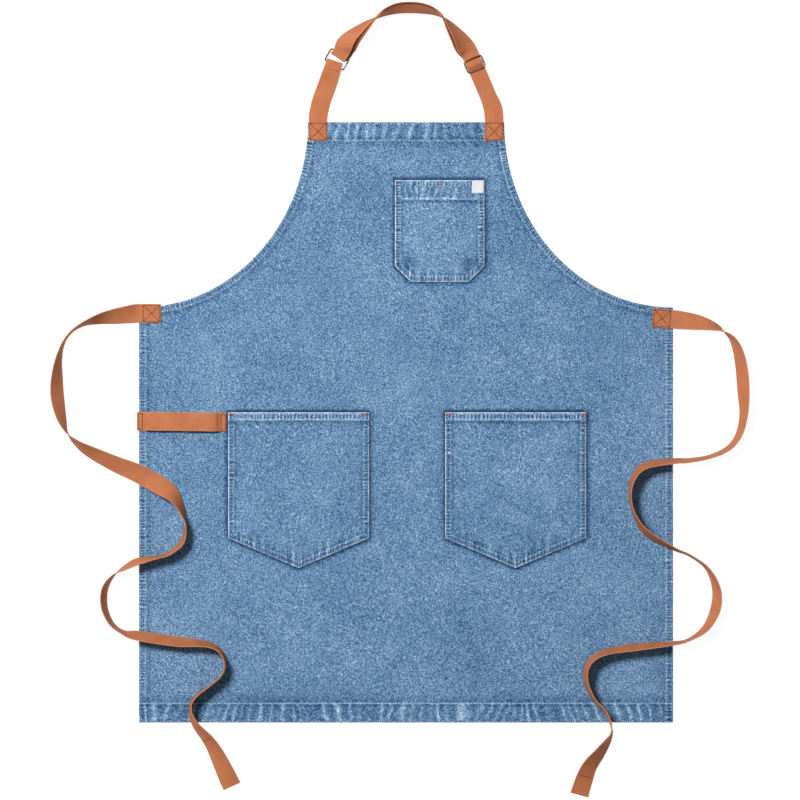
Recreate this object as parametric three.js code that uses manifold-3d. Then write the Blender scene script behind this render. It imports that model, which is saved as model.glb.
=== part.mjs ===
// A denim bib apron lying flat: panel, three pockets, towel loop, neck straps with a ring and a
// slide adjuster, and two waist ties. Millimetres, +Z up. The origin is the middle of the apron's
// footprint at table height; +Y points from the bottom hem to the neck loop.

import * as THREE from 'three';
import { mergeVertices } from 'three/addons/utils/BufferGeometryUtils.js';
import Module from 'manifold-3d';

const wasm = await Module();
wasm.setup();

// ---------------------------------------------------------------- driving dimensions

const GAP = 0.3; // between pieces that touch

const PANEL = { halfWidth: 356, top: 319.5, bottom: -481 };
const ARMHOLE = { across: 225, down: 247 }; // half axes of its quarter ellipse
const PLY = 1.2; // one layer of denim, with its turned edge's slack
const HEM_DROP = 1.0; // the folded layer under every edge
const HEMS = { bib: 24, bottom: 25, side: 10, armhole: 9 };
const PANEL_TOP = HEM_DROP + PLY;

const WEB = { width: 25, thick: 1.4, narrow: 22.4, fold: 22 };
const TABLE = 0.2; // what lies on the table sits this high
const ON_PANEL = PANEL_TOP + GAP;
const OVER_THREAD = 3.3; // clears the thread rows on the panel

const THREAD = { wide: 0.9, high: 0.5 };
const ROWS = { near: 2, side: 8, armhole: 7.5, pocket: 7 }; // rows of thread, measured in from an edge
const TACK = { long: 7, wide: 2.4, high: 0.7 };

const POCKET = { room: 4.7, wall: 3 }; // clear depth inside, and the sewn margin
const POCKET_TOP = ON_PANEL + POCKET.room + PLY;
const CHEST = { x: 45, top: 242, halfWidth: 59.8, height: 135.5, chamfer: 21, hem: 25.3 };
const HAND = { top: -67.5, halfWidth: 94, side: 167.5, height: 207.5, hem: 10 };
const HAND_X = { left: -143, right: 146.3 };

const NECK_X = 117.3; // middle of both sewn strap ends
const NECK_SEWN = 25; // sewn length of a neck strap end
const FOLD_GAP = 1; // where a neck strap folds up at the bib's edge
const WAIST_SEWN = 25; // sewn length of a waist tie end
const WAIST = {
  left: { x: -339.4, y: 64.5, turn: 0 },
  right: { x: 341.2, y: 57.8, turn: -5.5 },
};

const TOWEL = { left: -357, right: -239.4, y: -80.7, sewn: 9, rise: 5.2 };

const BIGHT = { reach: 5.8, thick: 0.7 }; // the strap's hump over the slide's middle bar
const RING = { x: -92.2, y: 402.3, turn: -30, long: 28.5, short: 18.5, wire: 2 };
const SLIDE = { x: 91.5, y: 396.4, turn: 23, long: 27, short: 18.5, wire: 2, z: 5 };

const CURVE_STEPS = 18; // straight pieces in an armhole's curve

const CHEST_LABEL = { x: 95.8, y: 232.8, wide: 15.8, tall: 16.6, thick: 0.6 };
const BACK_LABEL = { x: -309, y: -421, wide: 60, tall: 46, thick: 0.5, corner: 9 };

// ---------------------------------------------------------------- materials

const colours = {
  denim: [0x6f97c0, 0.9, 0],
  webbing: [0xc97c50, 0.85, 0],
  rust: [0x7a3a1c, 0.8, 0],
  pale: [0xc9cfd8, 0.8, 0],
  label: [0xe9eaec, 0.8, 0],
  silver: [0xb7a888, 0.35, 1],
  bronze: [0x6b5638, 0.4, 1],
};

const group = new THREE.Group();

function add(name, geometry, colour) {
  const [color, roughness, metalness] = colours[colour];
  const mesh = new THREE.Mesh(geometry, new THREE.MeshStandardMaterial({ color, roughness, metalness }));
  mesh.name = name;
  group.add(mesh);
  return mesh;
}

// ---------------------------------------------------------------- solids

function solidOf(geometry) {
  const bare = geometry.clone();
  bare.deleteAttribute('normal');
  bare.deleteAttribute('uv');
  const merged = mergeVertices(bare, 1e-4);
  return new wasm.Manifold(new wasm.Mesh({
    numProp: 3,
    vertProperties: new Float32Array(merged.attributes.position.array),
    triVerts: new Uint32Array(merged.index.array),
  }));
}

function geometryOf(solid) {
  const mesh = solid.getMesh();
  const geometry = new THREE.BufferGeometry();
  geometry.setAttribute('position', new THREE.BufferAttribute(new Float32Array(mesh.vertProperties), 3));
  geometry.setIndex(new THREE.BufferAttribute(new Uint32Array(mesh.triVerts), 1));
  geometry.computeVertexNormals();
  return geometry;
}

// A flat shape made solid between two heights.
function slab(shape, low, high) {
  const options = { depth: high - low, bevelEnabled: false, curveSegments: 8 };
  return new THREE.ExtrudeGeometry(shape, options).translate(0, 0, low);
}

// A shape whose outline runs anticlockwise, as a shape with holes has to.
function shapeOf(points) {
  const outline = points.map(([x, y]) => new THREE.Vector2(x, y));
  return new THREE.Shape(THREE.ShapeUtils.isClockWise(outline) ? outline.reverse() : outline);
}

function rectangle(x, y, wide, tall, corner = 0) {
  const shape = new THREE.Shape();
  const [w, h] = [wide / 2, tall / 2];
  if (corner === 0) {
    return shapeOf([[x - w, y - h], [x + w, y - h], [x + w, y + h], [x - w, y + h]]);
  }
  shape.absarc(x + w - corner, y + h - corner, corner, 0, Math.PI / 2);
  shape.absarc(x - w + corner, y + h - corner, corner, Math.PI / 2, Math.PI);
  shape.absarc(x - w + corner, y - h + corner, corner, Math.PI, 1.5 * Math.PI);
  shape.absarc(x + w - corner, y - h + corner, corner, 1.5 * Math.PI, 2 * Math.PI);
  return shape;
}

// ---------------------------------------------------------------- the panel

// A point of the right armhole edge: 0 at the bib's corner, 1 at the waist, `inset` into the cloth.
function armholePoint(share, inset = 0) {
  const angle = share * Math.PI / 2;
  const x = PANEL.halfWidth - (ARMHOLE.across + inset) * Math.cos(angle);
  const y = PANEL.top - (ARMHOLE.down + inset) * Math.sin(angle);
  return [x, y];
}

// The panel's outline inside its hems.
function innerOutline(insets) {
  const right = [];
  for (let i = 0; i <= CURVE_STEPS; i++) {
    const [x, y] = armholePoint(i / CURVE_STEPS, insets.armhole);
    if (y < PANEL.top - insets.bib && x < PANEL.halfWidth - insets.side) {
      right.push([x, y]);
    }
  }
  right.unshift([right[0][0], PANEL.top - insets.bib]);
  right.push([PANEL.halfWidth - insets.side, right.at(-1)[1]]);
  right.push([PANEL.halfWidth - insets.side, PANEL.bottom + insets.bottom]);
  const left = right.map(([x, y]) => [-x, y]).reverse();
  return [...right, ...left];
}

function fullOutline() {
  const right = [];
  for (let i = 0; i <= CURVE_STEPS; i++) {
    right.push(armholePoint(i / CURVE_STEPS));
  }
  right.push([PANEL.halfWidth, PANEL.bottom]);
  const left = right.map(([x, y]) => [-x, y]).reverse();
  return [...right, ...left];
}

function makePanel() {
  const cloth = solidOf(slab(shapeOf(fullOutline()), 0, PANEL_TOP));
  const under = solidOf(slab(shapeOf(innerOutline(HEMS)), -1, HEM_DROP));
  add('apron_panel', geometryOf(cloth.subtract(under)), 'denim');
}

// ---------------------------------------------------------------- pockets

function chestOutline(inset) {
  const right = CHEST.halfWidth - inset;
  const bottom = -CHEST.height + inset;
  const cut = CHEST.chamfer - inset * (2 - Math.SQRT2);
  const points = [[right, 0], [right, bottom + cut], [right - cut, bottom]];
  return [...points, ...points.map(([x, y]) => [-x, y]).reverse()];
}

function handOutline(inset) {
  const right = HAND.halfWidth - inset;
  const rise = HAND.height - HAND.side;
  const slant = Math.atan2(rise, HAND.halfWidth);
  const point = -HAND.height + inset / Math.cos(slant);
  const corner = point + right * Math.tan(slant);
  return [[right, 0], [right, corner], [0, point], [-right, corner], [-right, 0]];
}

// A pocket: its front stands off the panel, sewn down round three sides and open at the top.
function makePocket(name, outline, x, top) {
  const outer = slab(shapeOf(outline(0)), ON_PANEL, POCKET_TOP);
  const hollow = outline(POCKET.wall).map(([u, v]) => [u, v === 0 ? 1 : v]);
  const inner = slab(shapeOf(hollow), ON_PANEL - 1, POCKET_TOP - PLY);
  const pocket = geometryOf(solidOf(outer).subtract(solidOf(inner)));
  add(name, pocket.translate(x, top, 0), 'denim');
}

// ---------------------------------------------------------------- rows of stitching

// A line moved sideways to its left, with its corners kept sharp.
function moveLine(line, distance) {
  return line.map((here, i) => {
    const before = line[Math.max(i - 1, 0)];
    const after = line[Math.min(i + 1, line.length - 1)];
    const first = i > 0 ? leftOf(before, here) : leftOf(here, after);
    const second = i < line.length - 1 ? leftOf(here, after) : first;
    const scale = distance / (1 + first[0] * second[0] + first[1] * second[1]);
    return [here[0] + (first[0] + second[0]) * scale, here[1] + (first[1] + second[1]) * scale];
  });
}

function leftOf([ax, ay], [bx, by]) {
  const length = Math.hypot(bx - ax, by - ay);
  return [-(by - ay) / length, (bx - ax) / length];
}

// One row of thread along a line.
function threadRow(line, height) {
  const edge = THREAD.wide / 2;
  const outline = [...moveLine(line, edge), ...moveLine(line, -edge).reverse()];
  return slab(shapeOf(outline), height, height + THREAD.high);
}

// Two rows of thread beside a line, sewn out along one and back along the other.
function threadLoop(line, near, far, height) {
  const edge = Math.sign(far - near) * THREAD.wide / 2;
  const outline = [...moveLine(line, near - edge), ...moveLine(line, far + edge).reverse()];
  const shape = shapeOf(outline);
  const inner = shortened(line, THREAD.wide);
  shape.holes.push(shapeOf([...moveLine(inner, near + edge), ...moveLine(inner, far - edge).reverse()]));
  return slab(shape, height, height + THREAD.high);
}

function shortened(line, amount) {
  const ends = [[line[1], line[0]], [line.at(-2), line.at(-1)]].map(([[ax, ay], [bx, by]]) => {
    const share = amount / Math.hypot(bx - ax, by - ay);
    return [bx + (ax - bx) * share, by + (ay - by) * share];
  });
  return [ends[0], ...line.slice(1, -1), ends[1]];
}

// A square of thread with a cross in it.
function boxCross(x, y, size, height, turn = 0) {
  const half = size / 2;
  const edge = THREAD.wide;
  const shape = rectangle(0, 0, size, size);
  for (let quarter = 0; quarter < 4; quarter++) {
    const angle = quarter * Math.PI / 2;
    const [c, s] = [Math.cos(angle), Math.sin(angle)];
    const spin = ([u, v]) => [u * c - v * s, u * s + v * c];
    const [tip, base] = [edge * Math.SQRT1_2, half - edge];
    shape.holes.push(shapeOf([[tip, 0], [base, base - tip], [base, tip - base]].map(spin)));
  }
  const geometry = slab(shape, 0, THREAD.high);
  return geometry.rotateZ(THREE.MathUtils.degToRad(turn)).translate(x, y, height);
}

// A closed line of thread: a shape with a smaller one taken out of it.
function boxFrame(shape, hole, height) {
  shape.holes.push(hole);
  return slab(shape, height, height + THREAD.high);
}

function makePanelStitching() {
  const row = (name, line) => add(name, threadRow(line, ON_PANEL), 'pale');
  const inner = NECK_X - WEB.width / 2 - 1;
  const bibY = PANEL.top - HEMS.bib;
  row('bib_hem_stitching', [[-inner, bibY], [inner, bibY]]);
  const side = PANEL.halfWidth - 1;
  const hemY = PANEL.bottom + HEMS.bottom;
  row('bottom_hem_stitching', [[-side, hemY], [side, hemY]]);
  for (const [name, sign] of [['left', -1], ['right', 1]]) {
    const x = sign * PANEL.halfWidth;
    const sideLine = [[x, 42], [x, hemY + 2]];
    const seam = threadLoop(sideLine, -sign * ROWS.near, -sign * ROWS.side, ON_PANEL);
    add(`${name}_side_seam_stitching`, seam, 'pale');
    const curve = [];
    for (let i = 0; i <= CURVE_STEPS; i++) {
      const [u, v] = armholePoint(0.1 + 0.77 * i / CURVE_STEPS);
      curve.push([sign * u, v]);
    }
    const bind = threadLoop(curve, -sign * ROWS.near, -sign * ROWS.armhole, ON_PANEL);
    add(`${name}_armhole_stitching`, bind, 'pale');
  }
}

function makePocketStitching(name, outline, x, top, hem) {
  const height = POCKET_TOP + GAP;
  const place = (geometry) => geometry.translate(x, top, 0);
  const edges = outline(0);
  const right = edges[0][0];
  const line = edges.map(([u, v]) => [u, v === 0 ? -hem - 2 : v]);
  add(`${name}_edge_stitching`, place(threadLoop(line, -ROWS.near, -ROWS.pocket, height)), 'pale');
  const mouth = [[1 - right, -hem], [right - 1, -hem]];
  add(`${name}_mouth_stitching`, place(threadRow(mouth, height)), 'pale');
}

function makeBarTacks() {
  const tack = (name, x, y) => {
    const low = POCKET_TOP + GAP;
    add(name, slab(rectangle(x, y, TACK.long, TACK.wide), low, low + TACK.high), 'rust');
  };
  tack('chest_pocket_left_bar_tack', CHEST.x - CHEST.halfWidth + 6, CHEST.top - 2);
  tack('chest_pocket_pen_slot_bar_tack', CHEST.x, CHEST.top - 5.5);
  for (const [name, middle] of Object.entries(HAND_X)) {
    const reach = HAND.halfWidth - TACK.long / 2 - 1;
    tack(`${name}_hand_pocket_outer_bar_tack`, middle + Math.sign(middle) * reach, HAND.top - 3);
    tack(`${name}_hand_pocket_inner_bar_tack`, middle - Math.sign(middle) * reach, HAND.top - 3);
  }
  const slot = [[CHEST.x + 8, CHEST.top - 3], [CHEST.x + 8, CHEST.top - CHEST.hem + 3]];
  add('pen_slot_stitching', threadRow(slot, POCKET_TOP + GAP), 'pale');
}

// ---------------------------------------------------------------- labels

function makeLabels() {
  const front = CHEST_LABEL;
  const frontShape = rectangle(front.x, front.y, front.wide, front.tall);
  const low = POCKET_TOP + GAP;
  add('chest_pocket_label', slab(frontShape, low, low + front.thick), 'label');
  const back = BACK_LABEL;
  const backShape = rectangle(back.x, back.y, back.wide - 6, back.tall - 6);
  add('back_label', slab(backShape, TABLE, TABLE + back.thick), 'label');
  const outer = rectangle(back.x, back.y, back.wide, back.tall, back.corner);
  const trim = 2 * THREAD.wide;
  const inner = rectangle(back.x, back.y, back.wide - trim, back.tall - trim, back.corner - THREAD.wide);
  add('back_label_stitching', boxFrame(outer, inner, ON_PANEL), 'pale');
}

// ---------------------------------------------------------------- webbing

const UP = new THREE.Vector3(0, 0, 1);

// A strip of webbing: a box in segments, each of whose sections is placed by one frame.
function ribbon(frames, thick = WEB.thick) {
  const segments = frames.length - 1;
  const geometry = new THREE.BoxGeometry(1, 1, 1, 1, 1, segments);
  const position = geometry.attributes.position;
  for (let i = 0; i < position.count; i++) {
    const { point, side, normal, width } = frames[Math.round((0.5 - position.getZ(i)) * segments)];
    const corner = point.clone().addScaledVector(side, position.getX(i) * width);
    corner.addScaledVector(normal, position.getY(i) * thick);
    position.setXYZ(i, corner.x, corner.y, corner.z);
  }
  geometry.computeVertexNormals();
  return geometry;
}

// Frames along a route of [x, y, roll, base, lift, width]: the strip's lowest edge is at `base`, its
// roll turns its right-hand edge up, and `lift` is the room under its face for another layer.
function framesAlong(route, steps) {
  const curveOf = (points) => new THREE.CatmullRomCurve3(points, false, 'catmullrom');
  const places = curveOf(route.map(([x, y, roll]) => new THREE.Vector3(x, y, roll)));
  const heights = curveOf(route.map(([, , , base, lift = 0, width = WEB.width]) => (
    new THREE.Vector3(base, lift, width)
  )));
  const samples = [];
  for (let i = 0; i <= steps; i++) {
    const { x, y, z: degrees } = places.getPoint(i / steps);
    const { x: base, y: lift, z: width } = heights.getPoint(i / steps);
    const roll = THREE.MathUtils.degToRad(degrees);
    const half = width / 2 * Math.abs(Math.sin(roll)) + WEB.thick / 2 * Math.abs(Math.cos(roll));
    const z = base + half + lift * Math.max(0, Math.cos(roll));
    samples.push({ point: new THREE.Vector3(x, y, z), roll, lift, width });
  }
  return samples.map(({ point, roll, lift, width }, i) => {
    const before = samples[Math.max(i - 1, 0)].point;
    const after = samples[Math.min(i + 1, steps)].point;
    const along = after.clone().sub(before).normalize();
    const level = along.clone().cross(UP).normalize();
    const face = level.clone().cross(along);
    const side = level.clone().multiplyScalar(Math.cos(roll)).addScaledVector(face, Math.sin(roll));
    const normal = face.clone().multiplyScalar(Math.cos(roll)).addScaledVector(level, -Math.sin(roll));
    return { point, side, normal, width, lift };
  });
}

// Half a turn of webbing round a bar: over it, then back under it.
function turnRound(centre, heading, radius, width) {
  const side = heading.clone().cross(UP);
  const steps = 8;
  const frames = [];
  for (let i = 0; i <= steps; i++) {
    const angle = Math.PI * i / steps;
    const normal = heading.clone().multiplyScalar(Math.sin(angle)).addScaledVector(UP, Math.cos(angle));
    frames.push({ point: centre.clone().addScaledVector(normal, radius), side, normal, width });
  }
  return frames;
}

function straightWeb(x, y, length, degrees, low, turn = 0) {
  const geometry = new THREE.BoxGeometry(length, WEB.width, WEB.thick);
  return geometry.rotateZ(THREE.MathUtils.degToRad(degrees + turn)).translate(x, y, low + WEB.thick / 2);
}

// A short row of thread across the face of a strip.
function acrossWeb({ point, side, normal, width }, alongWeb) {
  const lifted = point.clone().addScaledVector(normal, WEB.thick / 2 + GAP + THREAD.high / 2);
  const reach = width / 2 - 1.5;
  const frames = [-reach, reach].map((offset) => ({
    point: lifted.clone().addScaledVector(side, offset),
    side: alongWeb,
    normal,
    width: THREAD.wide,
  }));
  return ribbon(frames, THREAD.high);
}

// ---------------------------------------------------------------- neck straps

const heading = (degrees) => {
  const angle = THREE.MathUtils.degToRad(degrees);
  return new THREE.Vector3(-Math.sin(angle), Math.cos(angle), 0);
};

const BAR_ROOM = RING.wire / 2 + GAP + WEB.thick / 2; // from a bar's middle to the webbing's middle
const RING_Z = TABLE + WEB.thick / 2 + BAR_ROOM; // the ring lies on one layer of webbing
const RING_UP = heading(RING.turn);
const BAR_REACH = (RING.short - RING.wire) / 2;
const ringMiddle = new THREE.Vector3(RING.x, RING.y, RING_Z);
const ringBar = (sign) => ringMiddle.clone().addScaledVector(RING_UP, sign * BAR_REACH);
const LAYER = WEB.thick + GAP; // from one layer's middle to the next one's
const AT_BAR = 2 * BAR_ROOM; // the same where a bar lies between them

const SHORT_UP = heading(-21); // the short strap's direction where it takes the ring
const SHORT_FOLD = 1.6; // how far past the bar its fold's middle lies
const SHORT_TAIL = 26; // sewn-back length under it

function makeShortStrap() {
  const bar = ringBar(-1);
  const fold = bar.clone().addScaledVector(SHORT_UP, SHORT_FOLD);
  const back = (distance) => fold.clone().addScaledVector(SHORT_UP, -distance);
  const [near, far] = [back(7), back(SHORT_TAIL + 2)];
  const route = [
    [-NECK_X, PANEL.top + FOLD_GAP, 0, ON_PANEL],
    [-NECK_X, 325, 0, 2.1],
    [-115.4, 337, 0, TABLE],
    [-111.6, 351, 0, TABLE],
    [far.x, far.y, 0, TABLE, LAYER],
    [near.x, near.y, 0, TABLE, AT_BAR, WEB.fold],
    [fold.x, fold.y, 0, TABLE, AT_BAR, WEB.fold],
  ];
  const frames = framesAlong(route, 24);
  const turn = turnRound(new THREE.Vector3(fold.x, fold.y, RING_Z), SHORT_UP, BAR_ROOM, WEB.fold);
  const last = turn.at(-1);
  const tail = { ...last, point: last.point.clone().addScaledVector(SHORT_UP, -SHORT_TAIL) };
  const body = ribbon([...frames.slice(0, -1), ...turn, tail]);
  add('short_neck_strap', body, 'webbing');
  const row = frames[20];
  const along = row.side.clone().cross(row.normal).negate();
  add('short_strap_stitching', acrossWeb(row, along.negate()), 'rust');
}

// The long strap runs from the bib up through the slide, over the arch on its edge, round the
// ring's far bar, and back under itself to the slide's middle bar.
function makeLongStrap() {
  const bar = ringBar(1);
  const down = RING_UP.clone().negate();
  const arrive = bar.clone().addScaledVector(RING_UP, 7);
  const route = [
    [NECK_X, PANEL.top + FOLD_GAP, 0, ON_PANEL],
    [NECK_X, 325, 0, 2.1],
    [115.8, 338, 0, TABLE],
    [110.2, 352.5, 0, TABLE, 0, WEB.narrow],
    [103.3, 368.6, 0, TABLE, LAYER, WEB.narrow],
    [97.4, 382.6, 0, TABLE, LAYER, WEB.narrow],
    [SLIDE.x, SLIDE.y, 0, TABLE, LAYER, WEB.narrow],
    [87.2, 406.4, 0, TABLE, LAYER, WEB.narrow],
    [84, 412.6, -6, TABLE, LAYER, 23.5],
    [79.2, 420.5, -24, TABLE, LAYER],
    [70.2, 435.5, -47, TABLE, LAYER],
    [60, 449, -66, TABLE, LAYER],
    [48.7, 462, -90, TABLE, LAYER],
    [36, 469.5, -106, TABLE, LAYER],
    [22, 473, -117, TABLE, LAYER],
    [5, 474, -120, TABLE, LAYER],
    [-12, 472.5, -117, TABLE, LAYER],
    [-27, 468, -106, TABLE, LAYER],
    [-39, 461, -90, TABLE, LAYER],
    [-50, 453.5, -74, TABLE, LAYER],
    [-61, 444, -60, TABLE, LAYER],
    [-72.4, 434, -43, TABLE, LAYER],
    [-80.4, 423.6, -20, TABLE, LAYER + 0.6],
    [arrive.x, arrive.y, 0, TABLE, AT_BAR, WEB.fold],
    [bar.x, bar.y, 0, TABLE, AT_BAR, WEB.fold],
  ];
  const frames = framesAlong(route, 78);
  const turn = turnRound(bar, down, BAR_ROOM, WEB.fold);
  const atSlide = frames.findIndex(({ point }) => point.y > SLIDE.y - 1);
  const under = frames.slice(atSlide, -1).reverse().map((frame) => ({
    ...frame,
    point: frame.point.clone().addScaledVector(frame.normal, -frame.lift),
    normal: frame.normal.clone().negate(),
  }));
  add('long_neck_strap', ribbon([...frames.slice(0, -1), ...turn, ...under]), 'webbing');
}

function makeNeckTabs() {
  const middle = PANEL.top - NECK_SEWN / 2;
  for (const [name, sign] of [['left', -1], ['right', 1]]) {
    const end = straightWeb(sign * NECK_X, middle, NECK_SEWN, 90, ON_PANEL);
    add(`${name}_neck_strap_sewn_end`, end, 'webbing');
    const height = ON_PANEL + WEB.thick + GAP;
    add(`${name}_neck_box_stitching`, boxCross(sign * NECK_X, middle, WEB.width - 5, height), 'rust');
  }
}

// ---------------------------------------------------------------- ring and slide

// A wire frame in the plane of the table, with one or more windows across its short way.
function wireFrame({ long, short, wire, x, y, turn }, windows, z) {
  const bevel = wire / 4;
  const shape = rectangle(0, 0, long, short, 3);
  const tall = (short - wire) / windows - wire;
  for (let i = 0; i < windows; i++) {
    const middle = (i - (windows - 1) / 2) * (tall + wire);
    shape.holes.push(rectangle(0, middle, long - 2 * wire, tall, 1));
  }
  const options = {
    depth: wire - 2 * bevel,
    bevelThickness: bevel,
    bevelSize: bevel,
    bevelOffset: -bevel,
    bevelSegments: 1,
    curveSegments: 4,
  };
  const geometry = new THREE.ExtrudeGeometry(shape, options).translate(0, 0, bevel - wire / 2);
  return geometry.rotateZ(THREE.MathUtils.degToRad(turn)).translate(x, y, z);
}

// The strap's hump over the slide's middle bar, from one window of the slide to the other.
function makeBight() {
  const up = heading(SLIDE.turn);
  const side = up.clone().cross(UP);
  const low = TABLE + LAYER + WEB.thick + GAP + BIGHT.thick / 2;
  const high = SLIDE.z + SLIDE.wire / 2 + GAP + BIGHT.thick / 2;
  const frames = [];
  const steps = 12;
  for (let i = 0; i <= steps; i++) {
    const share = i / steps * 2 - 1;
    const point = new THREE.Vector3(SLIDE.x, SLIDE.y, 0).addScaledVector(up, share * BIGHT.reach);
    point.z = low + (high - low) * (1 + Math.cos(share * Math.PI)) / 2;
    frames.push({ point, side, normal: UP, width: WEB.narrow - BIGHT.thick });
  }
  add('strap_over_slide_bar', ribbon(frames, BIGHT.thick), 'webbing');
}

function makeHardware() {
  add('strap_ring', wireFrame(RING, 1, RING_Z), 'silver');
  add('slide_adjuster', wireFrame(SLIDE, 2, SLIDE.z), 'bronze');
}

// ---------------------------------------------------------------- towel loop

function makeTowelLoop() {
  const { left, right, y, sewn, rise } = TOWEL;
  const low = OVER_THREAD;
  const route = [
    [left, y, 0, low],
    [left + sewn, y, 0, low],
    [left + 2.2 * sewn, y, 0, low + rise],
    [(left + right) / 2, y - 0.5, 0, low + rise],
    [right - 2.2 * sewn, y - 1, 0, low + rise],
    [right - sewn, y - 1, 0, low],
    [right, y - 1, 0, low],
  ];
  add('towel_loop', ribbon(framesAlong(route, 24)), 'webbing');
  const height = low + WEB.thick + GAP;
  for (const [name, x] of [['outer', left + sewn / 2], ['inner', right - sewn / 2]]) {
    const trim = 2 * THREAD.wide;
    const [wide, tall] = [sewn - 2.4, WEB.width - 4];
    const inner = rectangle(x, y, wide - trim, tall - trim);
    add(`towel_loop_${name}_stitching`, boxFrame(rectangle(x, y, wide, tall), inner, height), 'rust');
  }
}

// ---------------------------------------------------------------- waist ties

// Each tie's route from its sewn end to its free end: [x, y, roll, base].
const LEFT_TIE = [
  [-352.2, 64.5, 0, 2.5], [-358, 64.3, 3, 2.4], [-371, 62.8, 23, 1.2], [-388.5, 60.3, 38, 0.3],
  [-404, 57.9, 54, 0.2],
  [-426.1, 51.5, 78, 0.2], [-444, 41, 87, 0.2], [-456, 25, 86, 0.2], [-462.5, 3, 74, 0.2],
  [-464.8, -22, 56, 0.2], [-464.2, -47, 49, 0.2], [-459, -74, 63, 0.2], [-451, -95, 90, 0.2],
  [-438, -108.5, 110, 0.2], [-418.4, -121, 130, 0.2], [-385.2, -137, 150, 0.9],
  [-357, -149, 168, 3.4], [-322, -168.5, 203, 3.3], [-306.3, -183.2, 237, 3.3],
  [-296.8, -202, 257, 3.3], [-293.6, -218.5, 275, 3.3], [-298, -240, 284, 3.3],
  [-315, -255.3, 279, 3.3], [-333.2, -260.5, 279, 3.3], [-358, -266.3, 290, 3.4],
  [-374, -274, 283, 0.9], [-390, -285, 265, 0.2], [-401, -303, 254, 0.2],
  [-401.5, -327, 254, 0.2], [-392, -348.5, 260, 0.2], [-377, -359.8, 261, 1.1],
  [-357, -364.6, 243, 3.4], [-306.4, -372.3, 241, 3.3], [-262, -376.8, 256, 3.3],
  [-242.8, -391.5, 264, 3.3], [-244.4, -417, 267, 3.3], [-280, -445.7, 275, 3.3],
  [-287.2, -463, 280, 3.3], [-280, -483, 292, 2.8], [-257.7, -512, 315, 0.2], [-232, -566, 356, 0.2],
];

const RIGHT_TIE = [
  [353.9, 56.6, 0, 2.5], [359, 56.1, 3, 2.4], [376.7, 54, 25, 1.2], [393, 51.3, 41, 0.2],
  [412.5, 45.8, 67, 0.2],
  [423.5, 40, 88, 0.2], [434.3, 30.5, 104, 0.2], [442, 14, 117, 0.2], [447, -10, 125, 0.2],
  [449.3, -40, 125, 0.2], [449.6, -70, 112, 0.2], [443, -97.5, 106, 0.2], [428, -116, 102, 0.2],
  [402.5, -127, 99, 0.2], [376, -131.4, 102, 0.9], [357, -132.3, 105, 3.4],
  [318.7, -138.5, 108, 3.3], [302.5, -155, 102, 3.3], [298.1, -178, 95, 3.3],
  [304, -203, 94, 3.3], [320.5, -228, 108, 3.3], [357, -249.2, 99, 3.4],
  [378, -258.2, 95, 0.9], [401, -275.5, 99, 0.2], [413.3, -303, 113, 0.2],
  [411.8, -330, 118, 0.2], [399, -354.5, 107, 0.2], [378, -369.3, 95, 0.9],
  [357, -374.6, 98, 3.4], [309.5, -379.5, 109, 3.3], [266, -386.6, 104, 3.3],
  [244.3, -400, 102, 3.3], [239, -422, 101, 3.3], [248.5, -447.3, 99, 3.3],
  [266, -467.5, 97, 3.3], [273.2, -487, 90, 2.7], [270, -502, 72, 0.2], [258.5, -520, 53, 0.2],
  [244.5, -539, 36, 0.2], [237.2, -557, 20, 0.2], [231, -577.5, 8, 0.2],
];

function makeTie(name, route, { x, y, turn }) {
  const sewn = straightWeb(x, y, WAIST_SEWN, 0, ON_PANEL, turn);
  add(`${name}_waist_tie_sewn_end`, sewn, 'webbing');
  const height = ON_PANEL + WEB.thick + GAP;
  add(`${name}_waist_box_stitching`, boxCross(x, y, WEB.width - 5, height, turn), 'rust');
  const frames = framesAlong(route, 80);
  add(`${name}_waist_tie`, ribbon(frames), 'webbing');
  const hem = frames.at(-2);
  const outward = Math.sign(hem.normal.z);
  const row = { ...hem, normal: hem.normal.clone().multiplyScalar(outward) };
  const along = row.side.clone().cross(row.normal);
  add(`${name}_tie_hem_stitching`, acrossWeb(row, along), 'rust');
}

// ---------------------------------------------------------------- assembly

makePanel();
makePocket('chest_pocket', chestOutline, CHEST.x, CHEST.top);
makePocket('left_hand_pocket', handOutline, HAND_X.left, HAND.top);
makePocket('right_hand_pocket', handOutline, HAND_X.right, HAND.top);
makePanelStitching();
makePocketStitching('chest_pocket', chestOutline, CHEST.x, CHEST.top, CHEST.hem);
makePocketStitching('left_hand_pocket', handOutline, HAND_X.left, HAND.top, HAND.hem);
makePocketStitching('right_hand_pocket', handOutline, HAND_X.right, HAND.top, HAND.hem);
makeBarTacks();
makeLabels();
makeTowelLoop();
makeNeckTabs();
makeShortStrap();
makeLongStrap();
makeHardware();
makeBight();
makeTie('left', LEFT_TIE, WAIST.left);
makeTie('right', RIGHT_TIE, WAIST.right);

export default group;
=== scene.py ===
"""A denim bib apron with tan webbing, laid flat and seen from straight above.

Everything is in metres, +Z up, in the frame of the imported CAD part. Heights are measured from the
table. The ties' routes are those of the CAD part.
"""

import math

import bpy
import numpy as np
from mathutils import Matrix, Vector
from mathutils.geometry import delaunay_2d_cdt


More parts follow.
